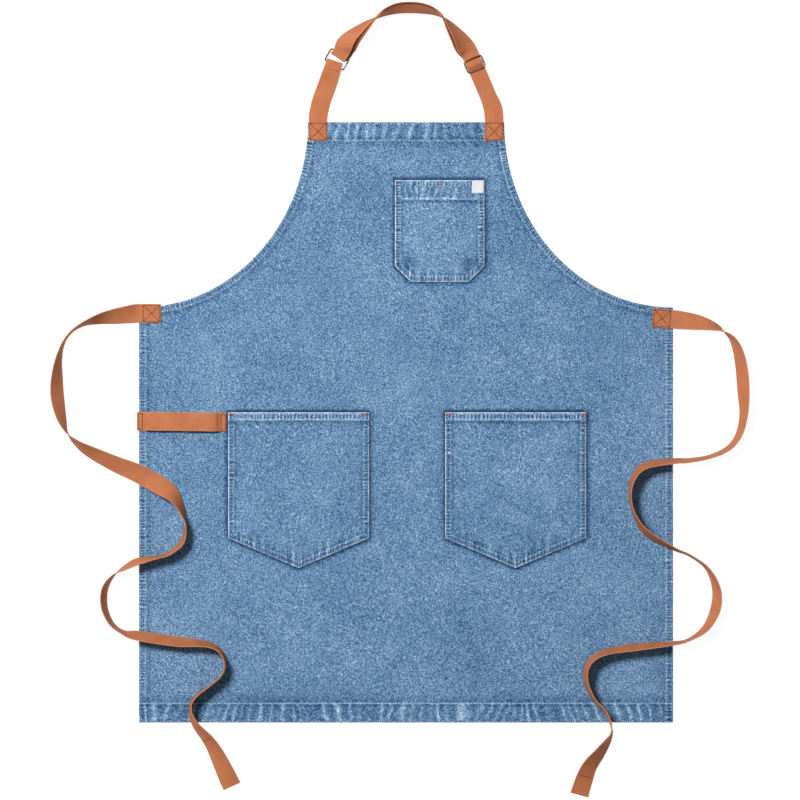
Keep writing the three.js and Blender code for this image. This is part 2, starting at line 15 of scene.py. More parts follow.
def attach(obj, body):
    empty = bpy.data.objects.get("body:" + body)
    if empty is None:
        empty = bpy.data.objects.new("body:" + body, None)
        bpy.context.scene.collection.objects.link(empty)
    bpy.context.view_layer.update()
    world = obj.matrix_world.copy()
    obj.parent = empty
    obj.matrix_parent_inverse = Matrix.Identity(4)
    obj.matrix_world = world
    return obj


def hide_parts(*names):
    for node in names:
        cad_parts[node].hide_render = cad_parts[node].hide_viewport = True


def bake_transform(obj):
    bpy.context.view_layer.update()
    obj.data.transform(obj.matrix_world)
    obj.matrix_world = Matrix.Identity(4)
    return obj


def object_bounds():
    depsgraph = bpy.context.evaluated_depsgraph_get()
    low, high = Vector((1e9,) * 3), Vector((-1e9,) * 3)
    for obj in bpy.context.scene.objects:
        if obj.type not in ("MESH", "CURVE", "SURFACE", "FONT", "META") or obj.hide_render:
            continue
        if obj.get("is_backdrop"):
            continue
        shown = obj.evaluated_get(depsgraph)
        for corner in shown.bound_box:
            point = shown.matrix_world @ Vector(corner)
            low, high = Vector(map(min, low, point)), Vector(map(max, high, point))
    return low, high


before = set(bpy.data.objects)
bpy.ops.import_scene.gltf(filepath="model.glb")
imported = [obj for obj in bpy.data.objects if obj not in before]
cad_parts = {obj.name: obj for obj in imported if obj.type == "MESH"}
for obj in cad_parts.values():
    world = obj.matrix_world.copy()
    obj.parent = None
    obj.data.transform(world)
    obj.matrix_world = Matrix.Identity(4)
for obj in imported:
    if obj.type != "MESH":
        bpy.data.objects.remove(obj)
CAD_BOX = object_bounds()

# ---------------------------------------------------------------- sizes

PANEL_HALF, PANEL_TOP_Y, PANEL_BOTTOM_Y = 0.356, 0.3195, -0.481
ARM_ACROSS, ARM_DOWN = 0.225, 0.247  # half axes of an armhole's quarter ellipse
BIB_HALF = PANEL_HALF - ARM_ACROSS
HEMS = {"bib": 0.0245, "bottom": 0.0255, "side": 0.0100, "armhole": 0.0090}
HEM_HEIGHT = 0.0022  # top of the folded edges
CLOTH_HEIGHT = 0.0014  # top of the single cloth between them
PLY = 0.0009

CHEST = {"x": 0.045, "top": 0.242, "half": 0.0598, "tall": 0.1355, "cut": 0.021, "hem": 0.0253}
HAND = {"top": -0.0675, "half": 0.094, "side": 0.1675, "tall": 0.2075, "hem": 0.010}
HAND_X = {"left": -0.143, "right": 0.1463}
POCKET_RISE = 0.0022  # how far a pocket's middle stands off the panel

TAPE, TAPE_THICK, TAPE_NARROW, TAPE_FOLD = 0.025, 0.0014, 0.0224, 0.022
TABLE = 0.0002
LAYER = 0.0017  # from one layer of tape to the next

SEWN, ON_HEM = 0.025, 0.0032  # length of a sewn end, and its middle's height
NECK_X = 0.1173
WAIST = {"left": (-0.3394, 0.0645, 0.0), "right": (0.3412, 0.0578, -5.5)}
TOWEL = {"left": -0.3584, "right": -0.2394, "y": -0.0794, "sewn": 0.009, "rise": 0.0046}

RING = {"x": -0.0922, "y": 0.4023, "turn": -30, "long": 0.0285, "short": 0.0185, "wire": 0.002}
SLIDE = {"x": 0.0915, "y": 0.3964, "turn": 23, "long": 0.027, "short": 0.0185, "wire": 0.002}
BAR_ROOM = 0.002  # from a bar's middle to the tape's
RING_Z = TABLE + TAPE_THICK / 2 + BAR_ROOM
SLIDE_Z = 0.0050

CHEST_LABEL = {"x": 0.0958, "y": 0.2328, "wide": 0.0158, "tall": 0.0166}
BACK_LABEL = {"x": -0.309, "y": -0.421, "wide": 0.054, "tall": 0.040}
BACK_ROW = {"wide": 0.060, "tall": 0.046, "corner": 0.009}  # the thread round it, seen from the front

# A tape's route: (x, y, roll in degrees, height of its lowest edge, then lift and width if not usual).
LEFT_TIE = [
    (-0.3520, 0.0645, 0, 0.0025), (-0.358, 0.06445, 3, 0.0024), (-0.371, 0.0628, 23, 0.0012),
    (-0.3885, 0.0603, 38, 0.0003), (-0.404, 0.0579, 54, 0.0002), (-0.4261, 0.0515, 78, 0.0002),
    (-0.444, 0.041, 87, 0.0002),
    (-0.456, 0.025, 86, 0.0002), (-0.4625, 0.003, 74, 0.0002), (-0.4648, -0.022, 56, 0.0002),
    (-0.4642, -0.047, 49, 0.0002), (-0.459, -0.074, 63, 0.0002), (-0.451, -0.095, 90, 0.0002),
    (-0.438, -0.1085, 110, 0.0002), (-0.4184, -0.121, 130, 0.0002), (-0.3852, -0.137, 150, 0.0009),
    (-0.357, -0.149, 168, 0.0034), (-0.322, -0.1685, 203, 0.0033), (-0.3063, -0.1832, 237, 0.0033),
    (-0.2968, -0.202, 257, 0.0033), (-0.2936, -0.2185, 275, 0.0033), (-0.298, -0.24, 284, 0.0033),
    (-0.315, -0.2553, 279, 0.0033), (-0.3332, -0.2605, 279, 0.0033), (-0.358, -0.2663, 290, 0.0034),
    (-0.374, -0.274, 283, 0.0009), (-0.39, -0.285, 265, 0.0002), (-0.401, -0.303, 254, 0.0002),
    (-0.4015, -0.327, 254, 0.0002), (-0.392, -0.3485, 260, 0.0002), (-0.377, -0.3598, 261, 0.0011),
    (-0.357, -0.3646, 243, 0.0034), (-0.3064, -0.3723, 241, 0.0033), (-0.262, -0.3768, 256, 0.0033),
    (-0.2428, -0.3915, 264, 0.0033), (-0.2444, -0.417, 267, 0.0033), (-0.28, -0.4457, 275, 0.0033),
    (-0.2872, -0.463, 280, 0.0033), (-0.28, -0.483, 292, 0.0028), (-0.2577, -0.512, 315, 0.0002),
    (-0.232, -0.566, 356, 0.0002),
]
RIGHT_TIE = [
    (0.3537, 0.0566, 0, 0.0025), (0.359, 0.0561, 3, 0.0024), (0.3767, 0.054, 25, 0.0012),
    (0.393, 0.0513, 41, 0.0002), (0.4125, 0.0458, 67, 0.0002), (0.4235, 0.04, 88, 0.0002),
    (0.4343, 0.0305, 104, 0.0002),
    (0.442, 0.014, 117, 0.0002), (0.447, -0.01, 125, 0.0002), (0.4493, -0.04, 125, 0.0002),
    (0.4496, -0.07, 112, 0.0002), (0.443, -0.0975, 106, 0.0002), (0.428, -0.116, 102, 0.0002),
    (0.4025, -0.127, 99, 0.0002), (0.376, -0.1314, 102, 0.0009), (0.357, -0.1323, 105, 0.0034),
    (0.3187, -0.1385, 108, 0.0033), (0.3025, -0.155, 102, 0.0033), (0.2981, -0.178, 95, 0.0033),
    (0.304, -0.203, 94, 0.0033), (0.3205, -0.228, 108, 0.0033), (0.357, -0.2492, 99, 0.0034),
    (0.378, -0.2582, 95, 0.0009), (0.401, -0.2755, 99, 0.0002), (0.4133, -0.303, 113, 0.0002),
    (0.4118, -0.33, 118, 0.0002), (0.399, -0.3545, 107, 0.0002), (0.378, -0.3693, 95, 0.0009),
    (0.357, -0.3746, 98, 0.0034), (0.3095, -0.3795, 109, 0.0033), (0.266, -0.3866, 104, 0.0033),
    (0.2443, -0.4, 102, 0.0033), (0.239, -0.422, 101, 0.0033), (0.2485, -0.4473, 99, 0.0033),
    (0.266, -0.4675, 97, 0.0033), (0.2732, -0.487, 90, 0.0027), (0.27, -0.502, 72, 0.0002),
    (0.2585, -0.52, 53, 0.0002), (0.2445, -0.539, 36, 0.0002), (0.2372, -0.557, 20, 0.0002),
    (0.231, -0.5775, 8, 0.0002),
]

# ---------------------------------------------------------------- camera


def make_camera():
    """Straight above the apron, with a long lens."""
    middle, across = (-0.008, -0.051), 1.0667
    lens = bpy.data.cameras.new("camera")
    lens.lens = 240
    lens.sensor_width = 36
    camera = bpy.data.objects.new("camera", lens)
    camera.location = (*middle, across * lens.lens / lens.sensor_width)
    lens.clip_start, lens.clip_end = 0.01, 50
    bpy.context.scene.collection.objects.link(camera)
    bpy.context.scene.camera = camera


make_camera()

# ---------------------------------------------------------------- mesh tools


def make_mesh(name, points, faces, material, smooth=True):
    """A mesh object from an array of points and a list of faces."""
    mesh = bpy.data.meshes.new(name)
    mesh.from_pydata(np.asarray(points, float).tolist(), [], faces)
    mesh.materials.append(material)
    mesh.polygons.foreach_set("use_smooth", [smooth] * len(mesh.polygons))
    mesh.update()
    made = bpy.data.objects.new(name, mesh)
    bpy.context.scene.collection.objects.link(made)
    return made


def set_values(piece, name, values):
    """A number for every vertex, which materials read by name."""
    attribute = piece.data.attributes.new(name, "FLOAT", "POINT")
    attribute.data.foreach_set("value", np.asarray(values, np.float32))


def sewn(piece, node, slot, body="apron"):
    """The piece, which now stands for its CAD node and rides on a body."""
    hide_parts(node)
    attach(piece, body)
    return piece


def grid_faces(rows, columns, first=0, closed=False):
    """Quads between rows of points; a closed grid joins each row's last point to its first."""
    faces = []
    for i in range(rows - 1):
        for j in range(columns if closed else columns - 1):
            a = first + i * columns + j
            b = first + i * columns + (j + 1) % columns
            faces.append((a, b, b + columns, a + columns))
    return faces


def smoothstep(low, high, value):
    """From 0 at `low` to 1 at `high`, level at both ends."""
    share = np.clip((value - low) / (high - low), 0, 1)
    return share * share * (3 - 2 * share)


def bell(value, width):
    """1 where the value is 0, falling smoothly to nothing within about two widths of it."""
    return np.exp(-(value / width) ** 2)


def noise(x, y, cell, seed):
    """Smooth random values from -1 to 1, with one independent value for every cell."""
    table = np.random.default_rng(seed).uniform(-1, 1, (64, 64))
    u, v = np.asarray(x, float) / cell + 1000, np.asarray(y, float) / cell + 1000
    i, j = np.floor(u).astype(int), np.floor(v).astype(int)
    s, t = u - i, v - j
    s, t = s * s * (3 - 2 * s), t * t * (3 - 2 * t)
    low = table[i % 64, j % 64] * (1 - s) + table[(i + 1) % 64, j % 64] * s
    high = table[i % 64, (j + 1) % 64] * (1 - s) + table[(i + 1) % 64, (j + 1) % 64] * s
    return low * (1 - t) + high * t


def noise_along(run, cell, seed):
    """Smooth random values that change along one direction only."""
    return noise(run, 0 * run, cell, seed)


def direction(degrees):
    """The level direction that many degrees anticlockwise of +Y."""
    angle = math.radians(degrees)
    return np.array([-math.sin(angle), math.cos(angle), 0.0])


def place_level(points, x, y, degrees, z):
    """Flat points, turned about the origin and moved to a place at height z."""
    angle = math.radians(degrees)
    c, s = math.cos(angle), math.sin(angle)
    return [(x + u * c - v * s, y + u * s + v * c, z) for u, v in points]


UP = np.array([0.0, 0.0, 1.0])

# ---------------------------------------------------------------- materials


class Nodes:
    """A material's node tree, with short calls for the nodes that this scene uses."""

    def __init__(self, name):
        self.material = bpy.data.materials.new(name)
        self.material.use_nodes = True
        self.tree = self.material.node_tree
        self.shader = self.tree.nodes["Principled BSDF"]

    def add(self, kind, inputs=(), **settings):
        node = self.tree.nodes.new(kind)
        for key, value in settings.items():
            setattr(node, key, value)
        for key, value in dict(inputs).items():
            self.put(node.inputs[key], value)
        return node

    def put(self, socket, value):
        if isinstance(value, bpy.types.NodeSocket):
            self.tree.links.new(value, socket)
        else:
            socket.default_value = value

    def math(self, operation, a, b=0.0, clamp=False):
        node = self.add("ShaderNodeMath", {0: a, 1: b}, operation=operation, use_clamp=clamp)
        return node.outputs[0]

    def value(self, name):
        return self.add("ShaderNodeAttribute", attribute_name=name).outputs["Fac"]

    def place(self):
        return self.add("ShaderNodeTexCoord").outputs["Object"]

    def spun(self, vector, degrees, scale):
        rotation = (0, 0, math.radians(degrees))
        turned = self.add("ShaderNodeMapping", {"Vector": vector, "Rotation": rotation})
        stretched = self.add("ShaderNodeMapping", {"Vector": turned.outputs[0], "Scale": scale})
        return stretched.outputs[0]

    def noise(self, vector, scale, detail=3.0, rough=0.55):
        node = self.add(
            "ShaderNodeTexNoise",
            {"Vector": vector, "Scale": scale, "Detail": detail, "Roughness": rough},
        )
        return node.outputs["Fac"]

    def cells(self, vector, scale):
        node = self.add("ShaderNodeTexVoronoi", {"Vector": vector, "Scale": scale})
        return self.add("ShaderNodeSeparateColor", {"Color": node.outputs["Color"]}).outputs[0]

    def ramp(self, factor, stops):
        node = self.add("ShaderNodeValToRGB", {"Fac": factor})
        elements = node.color_ramp.elements
        while len(elements) < len(stops):
            elements.new(0.5)
        for element, (place, colour) in zip(elements, stops):
            element.position = place
            element.color = (*colour, 1)
        return node.outputs["Color"]

    def mix(self, factor, a, b, blend="MIX"):
        node = self.add("ShaderNodeMix", data_type="RGBA", blend_type=blend)
        self.put(node.inputs["Factor"], factor)
        self.put(node.inputs["A"], a if isinstance(a, bpy.types.NodeSocket) else (*a, 1))
        self.put(node.inputs["B"], b if isinstance(b, bpy.types.NodeSocket) else (*b, 1))
        return node.outputs["Result"]

    def bump(self, height, distance, strength=1.0, under=None):
        node = self.add("ShaderNodeBump", {"Height": height, "Distance": distance, "Strength": strength})
        if under is not None:
            self.put(node.inputs["Normal"], under)
        return node.outputs["Normal"]

    def finish(self, **inputs):
        for key, value in inputs.items():
            self.put(self.shader.inputs[key.replace("_", " ")], value)
        return self.material


def denim_material():
    """Washed denim: diagonal slubs, a soft mottle, and worn ridges where the cloth is puckered, with
    painted shade beside the hems and seams and round the pockets.
    """
    n = Nodes("denim")
    place = n.place()
    slub = n.noise(n.spun(place, -45, (1.0, 0.34, 1.0)), 1350, 0.0, 0.5)
    fleck = n.cells(n.spun(place, -45, (1.0, 0.6, 1.0)), 1150)
    mottle = n.noise(place, 60, 2.0, 0.5)
    wash = n.noise(place, 9, 2.0, 0.5)
    # this attribute lightens worn ridges and darkens hollows, and also carries painted shade beside hems,
    # seams and pockets
    tone = n.math("MULTIPLY", n.value("wear_and_shade"), 0.42)
    for pattern, weight in ((slub, 0.86), (fleck, 0.54), (mottle, 0.03), (wash, 0.11)):
        tone = n.math("ADD", tone, n.math("MULTIPLY", n.math("SUBTRACT", pattern, 0.5), weight))
    tone = n.math("ADD", tone, 0.441)
    colour = n.ramp(tone, [
        (0.0, (0.014, 0.044, 0.115)),
        (0.22, (0.046, 0.112, 0.225)),
        (0.42, (0.098, 0.205, 0.352)),
        (0.62, (0.175, 0.310, 0.475)),
        (0.80, (0.320, 0.460, 0.600)),
        (1.0, (0.660, 0.760, 0.850)),
    ])
    twill = n.add(
        "ShaderNodeTexWave",
        {"Vector": place, "Scale": 300.0, "Distortion": 1.5, "Detail": 1.0},
        wave_type="BANDS",
        bands_direction="DIAGONAL",
    ).outputs["Fac"]
    weave = n.bump(twill, 0.00012, 0.4)
    normal = n.bump(slub, 0.00022, 0.7, weave)
    return n.finish(Base_Color=colour, Roughness=0.9, Normal=normal, Specular_IOR_Level=0.15)


def tape_material():
    """Tan cotton tape: fine ribs across it, woven edges, a slightly uneven dye, edges tinted paler by wear
    and by a painted highlight, and painted shade where the tape lies hidden.
    """
    n = Nodes("webbing")
    along, across = n.value("along"), n.value("across")
    spot = n.add("ShaderNodeCombineXYZ", {"X": along, "Y": across}).outputs[0]
    ribs = n.math("SINE", n.math("MULTIPLY", along, 2 * math.pi / 0.0011))
    cords = n.math("SINE", n.math("MULTIPLY", across, 2 * math.pi / 0.0014))
    grain = n.noise(n.spun(spot, 0, (1.0, 2.6, 1.0)), 420, 3.0, 0.6)
    dye = n.noise(spot, 38, 3.0, 0.55)
    tone = n.math("ADD", n.math("MULTIPLY", grain, 0.45), n.math("MULTIPLY", dye, 0.55))
    colour = n.ramp(tone, [
        (0.25, (0.365, 0.112, 0.044)),
        (0.5, (0.455, 0.150, 0.061)),
        (0.75, (0.535, 0.192, 0.085)),
    ])
    # the edges' paler tint is partly wear and partly a painted highlight of the light that the thin edges
    # catch
    rim = n.math("MULTIPLY", n.value("rim"), 0.3)
    colour = n.mix(rim, colour, (0.68, 0.32, 0.17))
    # painted shade, dark brown, where one layer of tape lies hidden under another
    colour = n.mix(n.value("painted_shade"), colour, (0.10, 0.028, 0.011))
    weave = n.math("ADD", ribs, n.math("MULTIPLY", cords, 0.5))
    normal = n.bump(weave, 0.00003, 0.5)
    normal = n.bump(grain, 0.00015, 0.5, normal)
    return n.finish(Base_Color=colour, Roughness=0.82, Normal=normal, Specular_IOR_Level=0.3)


def thread_material(name, dark, light):
    """Twisted sewing thread, with small changes of colour along it."""
    n = Nodes(name)
    place = n.place()
    twist = n.noise(place, 1600, 1.0)
    fade = n.noise(place, 120, 2.0)
    tone = n.math("ADD", n.math("MULTIPLY", twist, 0.4), n.math("MULTIPLY", fade, 0.6))
    colour = n.ramp(tone, [(0.3, dark), (0.7, light)])
    return n.finish(
        Base_Color=colour, Roughness=0.7, Normal=n.bump(twist, 0.0001, 0.6), Specular_IOR_Level=0.3
    )


def label_material():
    """White woven label cloth."""
    n = Nodes("label")
    place = n.place()
    thread = n.noise(n.spun(place, 0, (1.0, 3.5, 1.0)), 900, 2.0)
    colour = n.ramp(thread, [(0.3, (0.60, 0.60, 0.61)), (0.7, (0.74, 0.74, 0.75))])
    return n.finish(Base_Color=colour, Roughness=0.75, Normal=n.bump(thread, 0.0001, 0.5))


def metal_material(name, dark, light, polish):
    """Antiqued brass: dark, and rubbed bright, in random patches."""
    n = Nodes(name)
    place = n.place()
    patina = n.noise(place, 230, 4.0, 0.65)
    scuff = n.noise(place, 1400, 2.0, 0.6)
    tone = n.math("ADD", n.math("MULTIPLY", patina, 0.75), n.math("MULTIPLY", scuff, 0.25))
    colour = n.ramp(tone, [(0.38, dark), (0.62, light)])
    rough = n.add("ShaderNodeMapRange", {0: tone, 1: 0.3, 2: 0.7, 3: polish + 0.2, 4: polish}).outputs[0]
    return n.finish(
        Base_Color=colour, Metallic=1.0, Roughness=rough, Normal=n.bump(scuff, 0.00006, 0.5)
    )


def floor_material():
    """A plain light table, which keeps the floor white and its shadows faint."""
    n = Nodes("floor")
    grain = n.noise(n.place(), 3, 2.0)
    colour = n.ramp(grain, [(0.0, (0.14, 0.14, 0.14)), (1.0, (0.15, 0.15, 0.15))])
    n.put(n.shader.inputs["Emission Color"], (1.0, 1.0, 1.0, 1.0))
    n.put(n.shader.inputs["Emission Strength"], 0.94)
    return n.finish(Base_Color=colour, Roughness=0.9, Specular_IOR_Level=0.1)


DENIM = denim_material()
WEBBING = tape_material()
RUST = thread_material("rust_thread", (0.075, 0.016, 0.007), (0.190, 0.045, 0.020))
TACK = thread_material("tack_thread", (0.240, 0.050, 0.018), (0.430, 0.130, 0.055))
PALE = thread_material("pale_thread", (0.30, 0.36, 0.43), (0.50, 0.55, 0.60))
BLUE = thread_material("blue_thread", (0.20, 0.30, 0.42), (0.36, 0.47, 0.58))
LABEL = label_material()
RING_METAL = metal_material("ring_metal", (0.020, 0.013, 0.007), (0.21, 0.175, 0.115), 0.36)
SLIDE_METAL = metal_material("slide_metal", (0.030, 0.019, 0.010), (0.30, 0.22, 0.12), 0.30)

# ---------------------------------------------------------------- tape


def spline(rows, steps):
    """Points evenly spread along a smooth curve through the rows, with their numbers alike."""
    rows = np.array(rows, float)
    padded = np.vstack([2 * rows[0] - rows[1], rows, 2 * rows[-1] - rows[-2]])
    place = np.linspace(0, len(rows) - 1, steps + 1)
    index = np.minimum(place.astype(int), len(rows) - 2)
    f = (place - index)[:, None]
    a, b, c, d = (padded[index + k] for k in range(4))
    first, second = (c - a) / 2, (d - b) / 2
    return (
        (2 * f**3 - 3 * f**2 + 1) * b
        + (f**3 - 2 * f**2 + f) * first
        + (3 * f**2 - 2 * f**3) * c
        + (f**3 - f**2) * second
    )


USUAL = (0.0, TAPE)  # the lift and width of a route's row that doesn't give them


def tape_frames(route, steps):
    """Sections along a route: a dict of arrays of middles, sides, normals, widths and lifts."""
    rows = [(*row, *USUAL[len(row) - 4:]) for row in route]
    x, y, degrees, base, lift, width = spline(rows, steps).T
    roll = np.radians(degrees)
    sine, cosine = np.sin(roll)[:, None], np.cos(roll)[:, None]
    z = base + width / 2 * np.abs(sine[:, 0]) + TAPE_THICK / 2 * np.abs(cosine[:, 0])
    z += lift * np.maximum(0, cosine[:, 0])
    middle = np.column_stack([x, y, z])
    along = np.empty_like(middle)
    along[1:-1] = middle[2:] - middle[:-2]
    along[0], along[-1] = middle[1] - middle[0], middle[-1] - middle[-2]
    along = unit(along)
    level = unit(np.cross(along, UP))
    face = np.cross(level, along)
    return {
        "middle": middle,
        "side": level * cosine + face * sine,
        "normal": face * cosine - level * sine,
        "width": width,
        "lift": lift,
    }


def unit(vectors):
    return vectors / np.linalg.norm(vectors, axis=-1, keepdims=True)


def join_frames(*parts):
    return {key: np.concatenate([part[key] for part in parts]) for key in parts[0]}


def cut_frames(frames, first=None, last=None):
    return {key: values[first:last] for key, values in frames.items()}


def even_frames(middle, side, normal, width):
    """Frames through the middles, all with the same side and width."""
    count = len(middle)
    return {
        "middle": middle,
        "side": np.repeat([side], count, axis=0),
        "normal": np.broadcast_to(normal, middle.shape),
        "width": np.full(count, width),
        "lift": np.zeros(count),
    }


TURN_ROWS = 13  # sections in half a turn round a bar


def turn_frames(centre, heading, radius, width):
    """Half a turn of tape round a bar: over it, then back under it."""
    angle = np.linspace(0, math.pi, TURN_ROWS)[:, None]
    normal = heading * np.sin(angle) + UP * np.cos(angle)
    return even_frames(centre + normal * radius, np.cross(heading, UP), normal, width)


# One side of the tape's section, from edge to edge: share of the half width, share of the half height.
SECTION = [
    (-1.0, 0.0), (-0.993, 0.62), (-0.965, 0.98), (-0.90, 0.90), (-0.6, 0.86), (-0.2, 0.9), (0.2, 0.9),
    (0.6, 0.86), (0.90, 0.90), (0.965, 0.98), (0.993, 0.62), (1.0, 0.0),
]


def make_tape(name, frames, material=None, thick=TAPE_THICK, start=0.0):
    """A strip of webbing through its frames, with thicker woven edges and closed ends."""
    frames = {key: neat_ends(values) for key, values in frames.items()}
    ring = SECTION + [(u, -v) for u, v in reversed(SECTION[1:-1])]
    u, v = np.array(ring).T
    middle = frames["middle"][:, None, :]
    across = frames["width"][:, None] / 2 * u
    length = start + tape_lengths(frames)
    wobble = 1 + 0.007 * noise_along(length, 0.009, 5)
    across = across * wobble[:, None]
    points = middle + frames["side"][:, None, :] * across[:, :, None]
    points = points + frames["normal"][:, None, :] * (thick / 2 * v)[None, :, None]
    rows, columns = across.shape
    faces = [face[::-1] for face in grid_faces(rows, columns, closed=True)]
    faces.append(tuple(range(columns)))
    faces.append(tuple(reversed(range((rows - 1) * columns, rows * columns))))
    made = make_mesh(name, points.reshape(-1, 3), faces, material or WEBBING)
    set_values(made, "along", np.repeat(length, columns))
    set_values(made, "across", across.ravel())
    # edge rows that the webbing tints paler, partly as wear and partly as painted highlight
    set_values(made, "rim", np.tile((np.abs(u) > 0.94).astype(float), rows))
    none = np.zeros(rows)
    # painted shade: on hidden stretches, and along one edge where a layer lies in the gap under another
    painted_shade = frames.get("painted_shade", none)[:, None] + frames.get("crease", none)[:, None] * (u < -0.89)
    set_values(made, "painted_shade", np.minimum(painted_shade, 1).ravel())
    return made


def neat_ends(values):
    """The same rows, with one more close to each end, so that the ends stay crisp."""
    first = values[:1] + 0.02 * (values[1:2] - values[:1])
    last = values[-1:] + 0.02 * (values[-2:-1] - values[-1:])
    return np.concatenate([values[:1], first, values[1:-1], last, values[-1:]])


def tape_lengths(frames):
    """How far along the tape each of its sections is."""
    steps = np.linalg.norm(np.diff(frames["middle"], axis=0), axis=1)
    return np.concatenate([[0], np.cumsum(steps)])


def straight_frames(x, y, length, degrees, height, width=TAPE, steps=12):
    """A level, straight stretch of tape, whose middle is at the given height."""
    heading = direction(degrees)
    share = np.linspace(-0.5, 0.5, steps + 1)[:, None]
    middle = np.array([x, y, height]) + heading * length * share
    return even_frames(middle, np.cross(heading, UP), UP, width)


# ---------------------------------------------------------------- stitches


def make_stitches(name, lines, material, length=0.0028, gap=0.0009, thick=0.0004, height=None, up=UP):
    """Rows of separate stitches. Each line is a list of points, and `height` gives the cloth's top."""
    points, faces = [], []
    shape = [(-0.5, 0.15, -0.6), (-0.38, 0.8, 0.35), (0.0, 1.0, 0.75), (0.38, 0.8, 0.35), (0.5, 0.15, -0.6)]
    sides = 6
    corners = [2 * math.pi * k / sides for k in range(sides)]
    for line in lines:
        line = np.array(line, float)
        steps = np.linalg.norm(np.diff(line, axis=0), axis=1)
        far = np.concatenate([[0], np.cumsum(steps)])
        count = max(1, int(round(far[-1] / (length + gap))))
        pitch = far[-1] / count
        for k in range(count):
            centre = np.array([np.interp((k + 0.5) * pitch, far, line[:, a]) for a in range(3)])
            ahead = np.array([np.interp((k + 0.6) * pitch, far, line[:, a]) for a in range(3)])
            if height is not None:
                centre[2] = ahead[2] = height(centre[0], centre[1])
            along = unit(ahead - centre)
            side = unit(np.cross(along, up))
            lift = np.cross(side, along)
            first = len(points)
            reach = pitch - gap
            for share, swell, raised in shape:
                ring_middle = centre + along * reach * share + lift * thick * raised
                for angle in corners:
                    spread = side * math.cos(angle) + lift * math.sin(angle)
                    points.append(ring_middle + spread * thick * swell)
            last = first + (len(shape) - 1) * sides
            faces += [face[::-1] for face in grid_faces(len(shape), sides, first, closed=True)]
            faces.append(tuple(range(first, first + sides)))
            faces.append(tuple(reversed(range(last, last + sides))))
    return make_mesh(name, points, faces, material)


def make_tack(name, x, y, long, tall, height, degrees=0):
    """A bar tack: close, slightly uneven threads sewn across one another."""
    heading = direction(degrees)
    side = np.cross(heading, UP)
    count = 13
    lines = []
    for k in range(count):
        offset = (k / (count - 1) - 0.5) * long
        middle = np.array([x, y, height]) + side * offset
        slant = side * 0.0003 * (-1) ** k
        lines.append([middle - heading * tall / 2 - slant, middle + heading * tall / 2 + slant])
    return make_stitches(name, lines, TACK, length=tall, gap=0.0, thick=0.00036)


# ---------------------------------------------------------------- waist ties


TIE_STEPS, TIE_HEM = 320, 310  # sections along a tie, and the one with its hem's stitches


def make_tie(side, route):
    """A waist tie, which is a free cord, with the row of thread across its end."""
    name = f"{side}_waist_tie"
    frames = tape_frames(route, TIE_STEPS)
    tie = sewn(make_tape(f"{name}_tape", frames), name, "webbing")
    normal = frames["normal"][TIE_HEM] * np.sign(frames["normal"][TIE_HEM][2])
    middle = frames["middle"][TIE_HEM] + normal * (TAPE_THICK / 2 + 0.00005)
    reach = frames["side"][TIE_HEM] * (TAPE / 2 - 0.0014)
    row = make_stitches(f"{side}_tie_hem_thread", [[middle - reach, middle + reach]], RUST, up=normal)
    sewn(row, f"{side}_tie_hem_stitching", "rust_thread")
    path = frames["middle"]
    length = tape_lengths(frames)[-1]
    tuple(path[0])


make_tie("left", LEFT_TIE)
make_tie("right", RIGHT_TIE)

# ---------------------------------------------------------------- the panel


def arm_point(share, inset=0.0):
    """A point of the right armhole's edge, from the bib (0) to the waist (1)."""
    angle = share * math.pi / 2
    x = PANEL_HALF - (ARM_ACROSS + inset) * math.cos(angle)
    y = PANEL_TOP_Y - (ARM_DOWN + inset) * math.sin(angle)
    return x, y


def edge_distances(x, y):
    """How far inside each kind of edge a point of the panel lies."""
    x, y = np.abs(np.asarray(x, float)), np.asarray(y, float)
    u, v = (PANEL_HALF - x) / ARM_ACROSS, (PANEL_TOP_Y - y) / ARM_DOWN
    radius = np.hypot(u, v)
    slope = np.hypot(u / ARM_ACROSS, v / ARM_DOWN) / np.maximum(radius, 1e-6)
    below = y < PANEL_TOP_Y - ARM_DOWN
    return {
        "bib": PANEL_TOP_Y - y,
        "bottom": y - PANEL_BOTTOM_Y,
        "side": np.where(below, PANEL_HALF - x, np.hypot(PANEL_HALF - x, 0.02)),
        "armhole": (radius - 1) / slope,
    }


def edge_run(kind, x, y):
    """How far along an edge a point lies."""
    if kind in ("bib", "bottom"):
        return x
    if kind == "side":
        return y + 3 * np.sign(x)
    angle = np.arctan2((PANEL_TOP_Y - y) / ARM_DOWN, (PANEL_HALF - np.abs(x)) / ARM_ACROSS)
    return 0.236 * angle + 5 * np.sign(x)


def roping(run, depth, seed, pitch):
    """Irregular slanted ridges with wider hollows between them, as a twisted hem has."""
    slanted = run + 0.5 * depth * noise_along(run, 0.06, seed + 9)
    slanted = slanted + 0.002 * noise(run, depth, 0.009, seed + 4)
    place = slanted / pitch + 0.55 * noise_along(slanted, 0.03, seed) + 500
    line = np.floor(place).astype(int) % 256
    table = np.random.default_rng(seed).uniform(0, 1, (3, 256))
    strength = 0.35 + 0.65 * table[0][line]
    width = 0.12 + 0.12 * table[1][line]
    off = place - np.floor(place) - 0.5 - 0.25 * (table[2][line] - 0.5)
    ridge = bell(off, width) * strength
    return 1.7 * ridge - 0.45 + 0.35 * noise(slanted, depth, 0.004, seed + 5)


def ticks(run, seed, pitch=0.0042):
    """Close, fairly even puckers along a seam, from -1 to 1."""
    wander = run + 0.0022 * noise_along(run, 0.010, seed)
    strength = 0.75 + 0.55 * noise_along(run, 0.013, seed + 3)
    return np.sin(2 * math.pi * wander / pitch) * strength


def panel_height(x, y):
    """The top of the cloth."""
    return panel_surface(x, y)[0]


